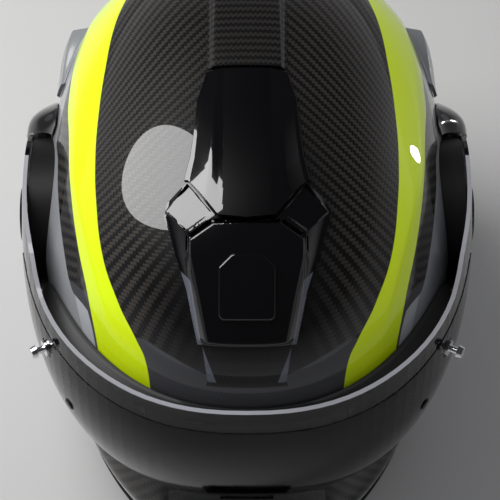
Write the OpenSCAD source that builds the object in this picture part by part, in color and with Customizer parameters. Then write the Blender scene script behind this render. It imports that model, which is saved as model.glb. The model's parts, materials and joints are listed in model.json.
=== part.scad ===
// Full-face sport helmet with a raised brow intake, side pods and a hinged visor.
// Millimetres. +Z is up and the face looks along -Y. The origin is on the ground, in the middle.

/* [Shell] */
// Half of the width over the ears
half_width = 117.5; // [110:0.5:125]
// Height of the crown
crown_z = 262; // [252:1:272]
// Height where the shell is widest
widest_z = 142; // [132:1:152]
// Reach of the brow ahead of the visor's axis
front_reach = 152; // [149:0.5:154]
// Reach of the chin bar ahead of the visor's axis
chin_reach = 168; // [162:1:174]
// Reach of the back behind the visor's axis
back_reach = 168; // [160:1:176]
// Reach of the nape behind the visor's axis, at the rim
nape_reach = 128; // [120:1:136]
// Wall of the shell
shell_wall = 3; // [2.5:0.1:4]
// Height of the rim's lower edge at the front and the back
rim_z = 3; // [3:0.5:5]
// Rise of the rim at the sides
rim_arch = 6; // [3:0.5:9]

/* [Eye opening] */
// Height of the middle of the opening
port_z = 130; // [128:0.5:132]
// Half of the opening's height
port_half = 50; // [46:0.5:51]
// Half of the angle that the opening takes round the shell
port_angle = 67; // [60:0.5:70]
// Lean of the opening's rear edges, in degrees from the middle to the top
port_lean = 2; // [0:0.5:4]

/* [Visor] */
// Height of the visor's hinge axis
hinge_z = 150; // [148:0.5:152]
// Place of the hinge axis along the helmet
hinge_y = -1.7; // [-6:0.1:2]
// Gap from the shell's widest side to the inner face of an arm
arm_gap = 8.5; // [8:0.25:9.5]
// Gap from the brow to the visor's inner face
brow_gap = 8; // [7:0.5:10]
// Thickness of the visor
visor_wall = 2.2; // [2:0.1:3]
// Height of the visor's top edge at the front
visor_top = 192.5; // [190:0.5:196]
// Height of the visor's lower edge at the front
visor_low = 76; // [73:0.5:79]
// Radius of the round end of an arm
arm_radius = 46; // [44:0.5:50]
// Largest angle that the visor opens to
visor_swing = 50; // [30:1:50]

/* [Hinge mechanism] */
// Radius of the hub that an arm turns on
hub_radius = 13; // [11:0.5:15]
// Running clearance between an arm's bore and its hub
hub_play = 0.06; // [0.02:0.01:0.1]
// Radius of the cap that keeps an arm on its hub
cap_radius = 17; // [16:0.5:20]
// Radius of the base plate
plate_radius = 44; // [42:0.5:45]
// Radius of the guide groove's middle line
groove_radius = 32; // [28:0.5:34]
// Radius of the guide pin
guide_radius = 3; // [2.5:0.1:3.5]
// Where the guide pin rests, as an angle up from straight ahead
guide_angle = 160; // [150:1:165]
// Travel of a release lever
release_travel = 3; // [2:0.25:4]

/* [Intakes] */
// Height of the brow housing over the shell
brow_rise = 6.2; // [5:0.1:7]
// Length of the brow slider
slider_long = 34; // [30:0.5:36]
// Width of the brow slider
slider_wide = 29; // [28:0.5:34]
// Travel of the brow slider
slider_travel = 7; // [4:0.5:8]
// Height of the top scoop over the shell at its mouth
scoop_rise = 7; // [5.5:0.1:8]
// Height of the chin housing over the shell
chin_rise = 4; // [3:0.1:5]
// Half of the chin port's height
chin_port_half = 9; // [7:0.5:10]
// Travel of the chin shutter
shutter_travel = 8; // [5:0.5:9]

/* [Inside] */
// Thickness of the impact liner
liner_thick = 28; // [24:0.5:30]
// Thickness of the crown pad
crown_pad_thick = 8; // [5:0.5:9]
// Height of the lower edge of the cheek pads
cheek_low = 22; // [20:0.5:26]
// Height of the upper edge of the cheek pads
cheek_top = 100; // [90:1:104]
// Width of the chin strap's webbing
strap_wide = 22; // [18:1:25]
// Thickness of the webbing
strap_thick = 1.8; // [1.4:0.1:2.2]

/* [Fits] */
// Gap between pieces that sit on each other
seat_gap = 0.2; // [0.15:0.05:0.3]
// Gap between pieces that slide past each other
slide_gap = 0.3; // [0.2:0.05:0.4]
// Gap round the foam and cloth pieces
soft_gap = 0.6; // [0.5:0.1:0.8]
// Gap that lets the fog lens pass over the seal
seal_gap = 2.7; // [2.6:0.1:3]

/* [Hidden] */
// The visor passes over the shell with its gaps, on its own curve
visor_half = half_width + arm_gap;
visor_reach = front_reach + brow_gap;
side_power = 2.15;
front_level = 156;
front_power = 2.3;
back_level = 160;
back_power = 2.2;
chin_run = 75;
tuck_reach = 235;
tuck_power = 2.4;
visor_power = 2.35;
port_power = 5;
port_end = 0.99;
ledge_gap = 4.5;
ledge_run = 20;
ledge_low = hinge_z - 1.14 * (hinge_z - visor_low + 3) - ledge_run;
sides = 40;
low_shares = [0, 0.06, 0.14, 0.22, 0.28, 0.33, 0.38, 0.43, 0.48, 0.54, 0.64, 0.76, 0.88];
crown_rows = 10;
crown_levels = [for (k = [0.4 : crown_rows - 0.4]) k / crown_rows];
centre = [0, hinge_y, hinge_z];

// Curves of the shell
function ease(t) = let(u = min(1, max(0, t))) u * u * (3 - 2 * u);
function bend(v, p) = sign(v) * pow(abs(v), p);
function blend(a, b, t) = a + (b - a) * t;
function spread(low, high, count) = [for (k = [0 : count]) low + (high - low) * k / count];
function dome(z, size, level, power, top) =
    size * pow(max(0, 1 - pow(min(1, max(0, (z - level) / (top - level))), power)), 1 / power);
function tuck(z) =
    pow(1 - pow(min(1, max(0, (widest_z - z) / tuck_reach)), tuck_power), 1 / tuck_power);
function half_at(z, inset) =
    max(0.01, dome(z, half_width - inset, widest_z, side_power, crown_z - inset) * tuck(z));
function ahead_at(z, inset) =
    max(0.01, dome(z, front_reach - inset, front_level, front_power, crown_z - inset) * tuck(z)
        + (chin_reach - front_reach) * ease((front_level - z) / chin_run));
function behind_at(z, inset) =
    max(0.01, dome(z, back_reach - inset, back_level, back_power, crown_z - inset)
        - (back_reach - nape_reach) * ease((back_level - z) / back_level));
function reach_at(z, inset, back) = back ? behind_at(z, inset) : ahead_at(z, inset);
function corner_at(z, back) = back ? 2.2 + 0.4 * ease((z - 60) / 120) : 2 + 0.22 * ease((z - 90) / 80);
function rim_at(a) = rim_z + rim_arch * ease((abs(sin(a)) - 0.55) / 0.4);

// How far out a point lies, as a share of the way to the visor's inner face
function visor_share(p) =
    pow(pow(abs(p[0]) / visor_half, visor_power)
        + pow(norm([p[1] - hinge_y, p[2] - hinge_z]) / visor_reach, visor_power), 1 / visor_power);
// The chin bar's ledge is drawn in under the visor
function drawn_in(p, inset) =
    let(share = visor_share(p),
        limit = 1 - (ledge_gap + inset) / visor_reach,
        pull = p[1] < hinge_y ? ease((p[2] - ledge_low) / ledge_run) : 0)
    share > limit ? centre + (p - centre) * (1 - pull * (1 - limit / share)) : p;
// A point of the wall at an angle round the helmet, from the face, and a height
function wall_point(a, z, inset) =
    let(back = cos(a) < 0,
        m = corner_at(z, back))
    drawn_in([half_at(z, inset) * bend(sin(a), 2 / m),
              hinge_y - reach_at(z, inset, back) * bend(cos(a), 2 / m), z], inset);
// The side's distance from the middle at a place along and a height
function side_at(y, z, inset) =
    let(back = y > hinge_y,
        m = corner_at(z, back),
        share = min(0.98, abs(y - hinge_y) / reach_at(z, inset, back)))
    half_at(z, inset) * pow(1 - pow(share, m), 1 / m);

// The skin over the top, found along a ray from the visor's axis
function beyond(x, y, z, inset) =
    z >= crown_z - inset ? 1
    : let(back = y > hinge_y, m = corner_at(z, back))
      pow(abs(x) / half_at(z, inset), m) + pow(abs(y - hinge_y) / reach_at(z, inset, back), m) - 1;
function skin_reach(x, pitch, inset, low, high, tries) =
    let(mid = (low + high) / 2)
    tries == 0 ? mid
    : beyond(x, hinge_y - mid * cos(pitch), hinge_z + mid * sin(pitch), inset) > 0
        ? skin_reach(x, pitch, inset, low, mid, tries - 1)
        : skin_reach(x, pitch, inset, mid, high, tries - 1);
function skin(x, pitch, rise) =
    let(r = skin_reach(x, pitch, -rise, 40, 200, 16))
    [x, hinge_y - r * cos(pitch), hinge_z + r * sin(pitch)];

// Closed solids from grids and rings of points
function facing(points, faces) =
    [for (f = faces) cross(points[f[0]], points[f[1]]) * points[f[2]]] * [for (f = faces) 1];
module solid(points, faces) {
    out = facing(points, faces) < 0;
    polyhedron(points, out ? faces : [for (f = faces) [f[2], f[1], f[0]]], convexity = 8);
}
function quad(a, b, c, d) = [[a, b, c], [a, c, d]];
function flat(lists) = [for (l = lists) each l];
// A slab between two grids of the same size
module slab(outer, inner) {
    rows = len(outer);
    cols = len(outer[0]);
    all = rows * cols;
    points = concat(flat(outer), flat(inner));
    faces = flat(concat(
        [for (i = [0 : rows - 2], j = [0 : cols - 2])
            let(k = i * cols + j) quad(k, k + 1, k + cols + 1, k + cols)],
        [for (i = [0 : rows - 2], j = [0 : cols - 2])
            let(k = all + i * cols + j) quad(k, k + cols, k + cols + 1, k + 1)],
        [for (j = [0 : cols - 2]) quad(j, all + j, all + j + 1, j + 1)],
        [for (j = [0 : cols - 2])
            let(k = (rows - 1) * cols + j) quad(k, k + 1, all + k + 1, all + k)],
        [for (i = [0 : rows - 2])
            let(k = i * cols) quad(k, k + cols, all + k + cols, all + k)],
        [for (i = [0 : rows - 2])
            let(k = i * cols + cols - 1) quad(k, all + k, all + k + cols, k + cols)]));
    solid(points, faces);
}
// A bar along a list of closed sections, joined end to end or with flat ends
module bar(sections, closed) {
    count = len(sections);
    m = len(sections[0]);
    last = closed ? count - 1 : count - 2;
    ends = closed ? [] : concat(
        [for (j = [1 : m - 2]) [0, j + 1, j]],
        [for (j = [1 : m - 2]) let(k = (count - 1) * m) [k, k + j, k + j + 1]]);
    faces = concat(flat([for (i = [0 : last], j = [0 : m - 1])
        let(a = i * m, b = ((i + 1) % count) * m, n = (j + 1) % m) quad(a + j, a + n, b + n, b + j)]), ends);
    solid(flat(sections), faces);
}
// A cap between two stacks of rings, closed over the crown
module cap(outer, inner) {
    rows = len(outer);
    cols = len(outer[0]);
    all = rows * cols + 1;
    function middle(ring) = [for (k = [0 : 2]) [for (p = ring) p[k]] * [for (p = ring) 1] / cols];
    points = concat(flat(outer), [middle(outer[rows - 1])], flat(inner), [middle(inner[rows - 1])]);
    faces = concat(flat(concat(
        [for (i = [0 : rows - 2], j = [0 : cols - 1])
            let(a = i * cols, n = (j + 1) % cols) quad(a + j, a + n, a + cols + n, a + cols + j)],
        [for (i = [0 : rows - 2], j = [0 : cols - 1])
            let(a = all + i * cols, n = (j + 1) % cols) quad(a + j, a + cols + j, a + cols + n, a + n)],
        [for (j = [0 : cols - 1])
            let(n = (j + 1) % cols) quad(j, all + j, all + n, n)])),
        [for (j = [0 : cols - 1])
            let(a = (rows - 1) * cols) [a + j, a + (j + 1) % cols, all - 1]],
        [for (j = [0 : cols - 1])
            let(a = all + (rows - 1) * cols) [a + (j + 1) % cols, a + j, 2 * all - 1]]);
    solid(points, faces);
}
// Moulded forms are meshed as one surface
module moulded() {
    resize([0, 0, 0])
        children();
}
module both() {
    children();
    mirror([1, 0, 0])
        children();
}
// Side 1 is the wearer's left, which is +X, and side -1 the right
module on_side(side) {
    if (side > 0) {
        children();
    } else {
        mirror([1, 0, 0])
            children();
    }
}

// Stacks of rings from a lower edge up to the crown
function ring_at(z, inset) = [for (j = [0 : sides - 1]) wall_point(360 * j / sides, z, inset)];
function low_point(a, share, inset) = wall_point(a, blend(rim_at(a), widest_z, share), inset);
function low_ring(share, inset) = [for (j = [0 : sides - 1]) low_point(360 * j / sides, share, inset)];
function crown_height(w, inset) =
    widest_z + (crown_z - inset - widest_z) * pow(sin(90 * w), 2 / side_power);
function stack(inset) = concat(
    [for (share = low_shares) low_ring(share, inset)],
    [for (w = crown_levels) ring_at(crown_height(w, inset), inset)]);

// The eye opening, as shares of its width and height
function port_rise(s) = pow(1 - pow(abs(s), port_power), 1 / port_power);
function port_point(s, t, grow, inset) =
    let(a = s * (port_angle + port_lean * t + grow * 0.5),
        z = port_z + (port_half + grow) * port_rise(s) * t)
    wall_point(a, z, inset);
port_shares = [for (k = [-8 : 8]) port_end * sin(90 * k / 8)];
edge_shares = [-0.6, -0.2, 0.2, 0.6];
port_ring = concat(
    [for (s = port_shares) [s, 1]],
    [for (t = edge_shares) [port_end, -t]],
    [for (s = port_shares) [-s, -1]],
    [for (t = edge_shares) [-port_end, t]]);
module port_cut(grow, low_t, outer, inner) {
    function grid(inset) =
        [for (t = [1, 0.5, 0, -0.5, low_t]) [for (s = port_shares) port_point(s, t, grow, inset)]];
    slab(grid(outer), grid(inner));
}

// Frames that pieces are set out in
// A place beside the hinge, with local Z outward
module at_pitch(pitch, r, x) {
    translate([x, hinge_y - r * cos(pitch), hinge_z + r * sin(pitch)])
        rotate([0, 90, 0])
            children();
}
slider_pitch = 39.3;
slider_front = skin(0, slider_pitch - 6.5, 0);
slider_back = skin(0, slider_pitch + 6.5, 0);
slider_slope = atan2(slider_back[2] - slider_front[2], slider_back[1] - slider_front[1]);
// The slider's seat on the brow, with local Y along its travel and local Z outward
module at_brow() {
    translate(skin(0, slider_pitch, 0))
        rotate([slider_slope, 0, 0])
            children();
}
module rounded(long, wide, r) {
    offset(r)
        square([wide - 2 * r, long - 2 * r], center = true);
}

// Outer shell
ridge_pitches = [99, 106, 116, 126, 134];
ridge_half = 22;
ridge_rise = 2.5;
strap_y = hinge_y + 8;
strap_z = 40;
rivet_radius = 3;
plate_screw_pitches = [75, 115, 322];
plate_screw_radius = 36;
screw_radius = 1.6;
pod_screw = [58, 4];
exhaust_pitch = 148;
module crown_ridge() {
    shares = [-1, -0.8, 0.8, 1];
    function height(u) = abs(u) > 0.9 ? 0.3 : ridge_rise;
    slab([for (p = ridge_pitches) [for (u = shares) skin(u * ridge_half, p, height(u))]],
         [for (p = ridge_pitches) [for (u = shares) skin(u * ridge_half, p, -1.5)]]);
}
module side_holes(r_screw, r_rivet) {
    for (pitch = plate_screw_pitches)
        at_pitch(pitch, plate_screw_radius, 90)
            cylinder(r = r_screw, h = 40, $fn = 24);
    translate([90, hinge_y + pod_screw[0], hinge_z + pod_screw[1]])
        rotate([0, 90, 0])
            cylinder(r = r_screw, h = 40, $fn = 24);
    translate([80, strap_y, strap_z])
        rotate([0, 90, 0])
            cylinder(r = r_rivet, h = 50, $fn = 24);
}
brow_port = [22, 6];
brow_port_y = -slider_long / 2 + brow_port[1] / 2 + 0.6;
module brow_duct() {
    at_brow()
        translate([0, brow_port_y, -30])
            linear_extrude(60)
                rounded(brow_port[1], brow_port[0], 2);
}
scoop_port = [20, 9];
module scoop_duct() {
    port = skin(0, 76, 0);
    translate([0, port[1], port[2] - 50])
        linear_extrude(80)
            rounded(scoop_port[1], scoop_port[0], 2);
}
module exhaust_duct() {
    port = skin(0, exhaust_pitch, 0);
    translate([0, port[1], port[2]])
        rotate([-50, 0, 0])
            for (x = [-15, 15])
                translate([x, 0, -50])
                    linear_extrude(70)
                        rounded(9, 16, 2);
}
chin_vent_z = 40;
chin_port_wide = 32;
module chin_duct(grow) {
    translate([0, hinge_y - 100, chin_vent_z])
        rotate([90, 0, 0])
            linear_extrude(100)
                rounded(2 * chin_port_half + 2 * grow, chin_port_wide + 2 * grow, 3);
}
module outer_shell() {
    color("dimgray")
        moulded()
            difference() {
                union() {
                    cap(stack(0), stack(shell_wall));
                    crown_ridge();
                }
                port_cut(0, -1, -4, shell_wall + 4);
                brow_duct();
                scoop_duct();
                exhaust_duct();
                chin_duct(0);
                both()
                    side_holes(screw_radius + seat_gap, rivet_radius + seat_gap);
            }
}

// Rubber bead round the shell's lower edge
bead_lip = 1.8;
bead_high = 8;
module rim_trim() {
    g = seat_gap / 2;
    section = [[-bead_lip, -rim_z], [-bead_lip, bead_high], [-g, bead_high], [-g, -g],
               [shell_wall + g, -g], [shell_wall + g, bead_high],
               [shell_wall + bead_lip, bead_high], [shell_wall + bead_lip, -rim_z]];
    color("black")
        bar([for (j = [0 : sides - 1])
            let(a = 360 * j / sides)
            [for (q = section)
                let(p = wall_point(a, rim_at(a) + max(0, q[1]), q[0])) [p[0], p[1], p[2] + min(0, q[1])]]],
            true);
}

// Rubber seal round the eye opening
seal_cover = 5.5;
seal_deep = 5;
function toward_visor(p, part) =
    let(gap = (1 / visor_share(p) - 1) * norm(p - centre) - seal_gap)
    p + (p - centre) / norm(p - centre) * gap * part;
module eyeport_seal() {
    g = seat_gap;
    function section(q) =
        [port_point(q[0], q[1], -g, seal_deep),
         port_point(q[0], q[1], -g, -soft_gap),
         port_point(q[0], q[1], seal_cover, -soft_gap),
         toward_visor(port_point(q[0], q[1], seal_cover - 0.5, 0), 0.4),
         toward_visor(port_point(q[0], q[1], 1.5, 0), 1),
         toward_visor(port_point(q[0], q[1], -2, 0), 1),
         port_point(q[0], q[1], -3.2, seal_deep)];
    color([0.08, 0.08, 0.08])
        bar([for (q = port_ring) section(q)], true);
}

// Foam that takes an impact
liner_out = shell_wall + soft_gap;
liner_in = liner_out + liner_thick;
liner_low = cheek_top + 4;
nape_low = 34;
module impact_liner() {
    function low_at(a) = blend(liner_low, nape_low, ease((abs(a > 180 ? a - 360 : a) - 115) / 30));
    function ring(share, inset) =
        [for (j = [0 : sides - 1])
            let(a = 360 * j / sides) wall_point(a, blend(low_at(a), widest_z, share), inset)];
    function rings(inset) = concat(
        [for (share = [0, 0.25, 0.5, 0.75]) ring(share, inset)],
        [for (w = crown_levels) ring_at(crown_height(w, inset), inset)]);
    color("gainsboro")
        moulded()
            difference() {
                cap(rings(liner_out), rings(liner_in));
                port_cut(8, -3.2, -14, 48);
                brow_duct();
                scoop_duct();
                exhaust_duct();
            }
}
chin_foam_thick = 17;
chin_foam_top = 0.5;
// The chin foam's inner face swells a little toward its lower edge
function foam_face(share) = shell_wall + chin_foam_thick + 4 * ease(1.35 - 2.8 * share);
module chin_liner() {
    angles = [for (j = [-6 : 6]) 360 * j / sides];
    shares = [0.09, for (s = low_shares) if (s > 0.1 && s < chin_foam_top) s];
    color("gainsboro")
        moulded()
            difference() {
                slab([for (s = shares) [for (a = angles) low_point(a, s, liner_out)]],
                     [for (s = shares) [for (a = angles) low_point(a, s, foam_face(s))]]);
                chin_duct(3);
            }
}

// Cheek pads: a foam core against the shell and a soft cover toward the face
cheek_front = hinge_y - 70;
cheek_back = hinge_y + 34;
cheek_core_out = 11;
core_face = half_width - 39.5;
pad_crown = 9;
cheek_ys = spread(cheek_front, cheek_back, 8);
cheek_zs = spread(cheek_low, cheek_top, 7);
function cheek_share(y, z) =
    [2 * (y - cheek_front) / (cheek_back - cheek_front) - 1,
     2 * (z - cheek_low) / (cheek_top - cheek_low) - 1];
// The cushion's edges are drawn in toward its core
function cheek_y(y, z) = blend(y, (cheek_front + cheek_back) / 2, 0.06 * pow(abs(cheek_share(y, z)[1]), 4));
function cheek_face(y, z) =
    core_face - 14 * ease((cheek_front + 40 - y) / 60) + 4 * ease((y - cheek_back + 30) / 30);
// The side of the shell where the chin's ledge is drawn in
function drawn_side(y, z, inset) =
    let(a = acos(min(1, pow(abs(y - hinge_y) / ahead_at(z, inset), corner_at(z, false) / 2))))
    y > hinge_y ? side_at(y, z, inset) : wall_point(a, z, inset)[0];
module cheek_core(side) {
    color("dimgray")
        on_side(side)
            slab([for (z = cheek_zs) [for (y = cheek_ys)
                     [max(cheek_face(y, z) + 5, drawn_side(y, z, cheek_core_out)), cheek_y(y, z), z]]],
                 [for (z = cheek_zs) [for (y = cheek_ys) [cheek_face(y, z) + 2, cheek_y(y, z), z]]]);
}
module cheek_pad(side) {
    function swell(y, z) =
        let(s = cheek_share(y, z))
        3 + pad_crown * pow(1 - pow(abs(s[0]), 3), 0.5) * pow(1 - pow(abs(s[1]), 3), 0.5)
          - 2.2 * exp(-pow((s[0] + 0.15 - 0.3 * s[1]) / 0.09, 2)) * (1 - pow(abs(s[1]), 4));
    ys = spread(cheek_front, cheek_back, 15);
    zs = spread(cheek_low, cheek_top, 8);
    color([0.13, 0.13, 0.14])
        on_side(side)
            slab([for (z = zs) [for (y = ys) [cheek_face(y, z) + 2 - soft_gap, cheek_y(y, z), z]]],
                 [for (z = zs) [for (y = ys)
                     [cheek_face(y, z) + 2 - soft_gap - swell(y, z), cheek_y(y, z), z]]]);
}
module cheek_core_left() {
    cheek_core(1);
}
module cheek_core_right() {
    cheek_core(-1);
}
module cheek_pad_left() {
    cheek_pad(1);
}
module cheek_pad_right() {
    cheek_pad(-1);
}

// Soft crown liner, with channels along it
module crown_pad() {
    outer = liner_in + soft_gap;
    function puff(a, w) =
        crown_pad_thick * (0.72 + 0.28 * pow(abs(cos(2.5 * a)), 0.6)) * (0.45 + 0.55 * ease(w / 0.16));
    function puffed(w) =
        [for (j = [0 : sides - 1])
            let(a = 360 * j / sides, inset = outer + puff(a, w - 0.24))
            wall_point(a, crown_height(w, inset), inset)];
    levels = [for (w = crown_levels) if (w > 0.2) w];
    color([0.16, 0.16, 0.18])
        moulded()
            difference() {
                cap([for (w = levels) ring_at(crown_height(w, outer), outer)], [for (w = levels) puffed(w)]);
                port_cut(12, -3, -14, 48);
            }
}
// Soft roll round the nape
roll_out = shell_wall + bead_lip + soft_gap;
roll_deep = 24;
module neck_roll() {
    angles = spread(112, 248, 20);
    function section(a) =
        let(end = min(1, (68 - abs(a - 180)) / 12),
            deep = roll_deep * (0.35 + 0.65 * sqrt(max(0, end * (2 - end)))))
        [for (k = [0 : 9])
            let(c = cos(36 * k), s = sin(36 * k), bulge = 1 + 0.05 * cos(8 * (a - 180)))
            wall_point(a, 21 + 9 * bend(s, 0.8), roll_out + deep * (0.5 - 0.5 * bend(c, 0.7)) * bulge)];
    color([0.13, 0.13, 0.14])
        bar([for (a = angles) section(a)], false);
}
// Rubber guard over the nose and the curtain under the chin
guard_wall = 2;
module breath_guard() {
    angles = [for (j = [-6 : 6]) 180 * j / sides];
    function top(a) = 16 - 12 * pow(abs(a) / 27, 2);
    // Its foot lies on the chin foam and its lip leans in toward the nose
    function at(a, t, more) =
        let(share = blend(0.38, 0.48, min(1, t)),
            p = low_point(a, share, foam_face(share) + soft_gap + more),
            u = max(0, t - 1))
        p + [0, 6 * u * u, top(a) * u];
    rows = [0, 0.5, 1, 1.3, 1.65, 2];
    color([0.1, 0.1, 0.1])
        slab([for (t = rows) [for (a = angles) at(a, t, 0)]],
             [for (t = rows) [for (a = angles) at(a, t, guard_wall)]]);
}
curtain_z = 9;
module chin_curtain() {
    angles = spread(-52, 52, 14);
    insets = [shell_wall + bead_lip + 0.5, 16, 28, 40];
    function at(a, i, z) = let(p = wall_point(a, curtain_z, i)) [p[0], p[1], z];
    color([0.1, 0.1, 0.1])
        slab([for (i = insets) [for (a = angles) at(a, i, curtain_z + 1.6 + (i > 20 ? 1.5 : 0))]],
             [for (i = insets) [for (a = angles) at(a, i, curtain_z + (i > 20 ? 1.5 : 0))]]);
}

// Brow intake: a faceted housing with a raised plate, and a slider that rides on the plate
brow_low = 27.6;
plate_rise = 0.9;
trench_deep = 2.4;
function brow_half(t) = lookup(t, [[0, 25.5], [0.3, 31], [0.55, 37], [0.9, 43], [1, 42]]);
function brow_end(x) = lookup(abs(x), [[0, 53.4], [15, 54], [31, 62.6], [36, 60.5], [43, 57]]);
function brow_pitch(x, t) = blend(brow_low, brow_end(x), t);
// Half of the plate's width at a share of the way up it
function plate_half(t) = lookup(t, [[0, 25], [0.33, 30.2], [0.84, 29.4], [1, 17.6]]);
plate_top = 53.2;
slider_floor = 2.2;
slider_lip = 1.6;
stem_long = 8;
stem_wide = 12;
slider_steps = [0, 0.35, 0.7, 1];
// Height of the plate's face, and of the tops of the two slanted facets beside the scoop
function flank(u, t) = blend(0.9, brow_rise - plate_rise, ease((1 - abs(u)) / 0.26) * ease(t / 0.16));
function facet(x) = blend(5.3, 1.6, min(1, max(0, (abs(x) - 18) / 26)));
module brow_face(low, more) {
    rows = [0, 0.1, 0.22, 0.36, 0.5, 0.64, 0.78, 0.9, 1];
    shares = [-1, -0.66, -0.33, 0, 0.33, 0.66, 1];
    function at(u, t, h) = skin(u * plate_half(t), blend(brow_low + 0.6, plate_top, t), h);
    slab([for (t = rows) [for (u = shares) at(u, t, brow_rise + more)]],
         [for (t = rows) [for (u = shares) at(u, t, low)]]);
}
module brow_vent_housing() {
    shares = [-1, -0.92, -0.74, -0.55, -0.36, -0.18, 0, 0.18, 0.36, 0.55, 0.74, 0.92, 1];
    steps = [0, 0.08, 0.16, 0.32, 0.48, 0.64, 0.8, 0.86, 0.93, 1];
    function height(u, t) =
        let(x = abs(u) * brow_half(t), back = ease((t - 0.8) / 0.06))
        blend(flank(u, t), abs(u) < 0.45 ? flank(u, t) - trench_deep : facet(x), back);
    function at(u, t, h) = let(x = u * brow_half(t)) skin(x, brow_pitch(x, t), h);
    color([0.05, 0.05, 0.06])
        moulded()
            difference() {
                union() {
                    slab([for (t = steps) [for (u = shares) at(u, t, height(u, t))]],
                         [for (t = steps) [for (u = shares) at(u, t, seat_gap)]]);
                    brow_face(1, 0);
                }
                at_brow()
                    translate([0, slider_travel / 2, slider_floor - seat_gap])
                        linear_extrude(20)
                            rounded(stem_long + slider_travel + 2 * slide_gap,
                                    stem_wide + 2 * slide_gap, 1.5);
                brow_duct();
            }
}
// Outline of the button, with its rear corners cut off
module button_outline() {
    half = slider_wide / 2;
    end = slider_long / 2;
    side = [[half, -end], [half, end - 7], [half - 7, end]];
    offset(3)
        offset(-3)
            polygon(concat(side, [for (k = [2, 1, 0]) [-side[k][0], side[k][1]]]));
}
module brow_vent_slider() {
    color([0.03, 0.03, 0.03])
        moulded() {
            difference() {
                intersection() {
                    at_brow()
                        linear_extrude(20)
                            button_outline();
                    brow_face(1, slide_gap + slider_lip);
                }
                // Its underside clears the plate all along its travel
                for (part = slider_steps)
                    at_brow()
                        translate([0, -part * slider_travel, 0])
                            rotate([-slider_slope, 0, 0])
                                translate(-skin(0, slider_pitch, 0))
                                    brow_face(0.5, slide_gap);
            }
            at_brow()
                translate([0, 0, slider_floor])
                    linear_extrude(brow_rise - slider_floor + 0.8)
                        rounded(stem_long, stem_wide, 1.2);
        }
}
module brow_vent_mesh() {
    color([0.02, 0.02, 0.02])
        at_brow()
            translate([0, brow_port_y, -shell_wall - 1.4])
                difference() {
                    linear_extrude(1.2)
                        rounded(brow_port[1] - 2 * seat_gap, brow_port[0] - 2 * seat_gap, 1.8);
                    for (x = [-8 : 2.6 : 8.2])
                        translate([x, 0, 0])
                            cube([1.6, 3.6, 4], center = true);
                }
}

// Top scoop behind the brow housing
scoop_end = 98;
function scoop_half(t) = lookup(t, [[0, 33], [0.2, 30], [0.4, 28.4], [0.75, 26.6], [1, 22]]);
function scoop_start(x) = abs(x) < 31 ? brow_end(x) + 0.9 : 63.5;
module top_scoop() {
    shares = [-1, -0.86, -0.62, -0.44, -0.38, 0, 0.38, 0.44, 0.62, 0.86, 1];
    steps = [0, 0.05, 0.15, 0.3, 0.42, 0.5, 0.7, 0.88, 1];
    function height(u, t) =
        blend(0.8, blend(scoop_rise, ridge_rise, ease(t)), ease((1 - abs(u)) / 0.4));
    function hollow(u, t) = abs(u) < 0.4 && t < 0.45 ? height(u, t) - 2.2 : seat_gap;
    function at(u, t, h) =
        let(x = u * scoop_half(t)) skin(x, blend(scoop_start(x), scoop_end, t), h);
    color([0.12, 0.12, 0.12])
        slab([for (t = steps) [for (u = shares) at(u, t, height(u, t))]],
             [for (t = steps) [for (u = shares) at(u, t, hollow(u, t))]]);
}

// Chin intake: a frame, a shutter that slides down and a mesh behind it
chin_low = 22;
chin_high = 60;
shutter_floor = 1.2;
shutter_thick = 1.8;
function chin_front(x, z, rise) =
    let(m = corner_at(z, false))
    hinge_y - ahead_at(z, -rise) * pow(1 - pow(abs(x) / half_at(z, -rise), m), 1 / m);
chin_lean = atan2(chin_front(0, chin_vent_z - 8, 0) - chin_front(0, chin_vent_z + 8, 0), 16);
// The chin's front at the vent, with local Y outward and local Z up along its lean
module at_chin() {
    translate([0, chin_front(0, chin_vent_z, 0), chin_vent_z])
        rotate([chin_lean, 0, 0])
            children();
}
module chin_vent_housing() {
    xs = spread(-30, 30, 12);
    zs = [chin_low, chin_low + 3, 31, 40, 49, chin_high - 4, chin_high];
    function height(x, z) =
        blend(0.8, chin_rise,
              ease((30 - abs(x)) / 7) * ease((z - chin_low) / 5) * ease((chin_high - z) / 5));
    color([0.05, 0.05, 0.06])
        moulded()
            difference() {
                slab([for (z = zs) [for (x = xs) [x, chin_front(x, z, height(x, z)), z]]],
                     [for (z = zs) [for (x = xs) [x, chin_front(x, z, seat_gap), z]]]);
                chin_duct(0);
                at_chin()
                    translate([0, -shutter_floor + seat_gap, 0])
                        rotate([90, 0, 0])
                            linear_extrude(12)
                                translate([0, -shutter_travel / 2 + 1])
                                    rounded(2 * chin_port_half + 4 + shutter_travel, chin_port_wide + 6, 2);
            }
}
module chin_vent_shutter() {
    color([0.1, 0.1, 0.11])
        at_chin()
            translate([0, -shutter_floor, 1]) {
                rotate([90, 0, 0])
                    linear_extrude(shutter_thick)
                        rounded(2 * chin_port_half + 3, chin_port_wide + 6 - 2 * slide_gap, 2);
                translate([0, -shutter_thick - 0.8, -6])
                    cube([16, 2, 2], center = true);
            }
}
module chin_vent_mesh() {
    gap = seat_gap;
    color([0.03, 0.03, 0.03])
        at_chin()
            translate([0, shell_wall, 0])
                rotate([90, 0, 0])
                    difference() {
                        linear_extrude(1.2)
                            rounded(2 * chin_port_half - 3 * gap, chin_port_wide - 3 * gap, 2.6);
                        for (x = [-14 : 4 : 14], z = [-4.2, 0, 4.2])
                            translate([x, z, 0])
                                cube([2.8, 3, 6], center = true);
                    }
}

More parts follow.
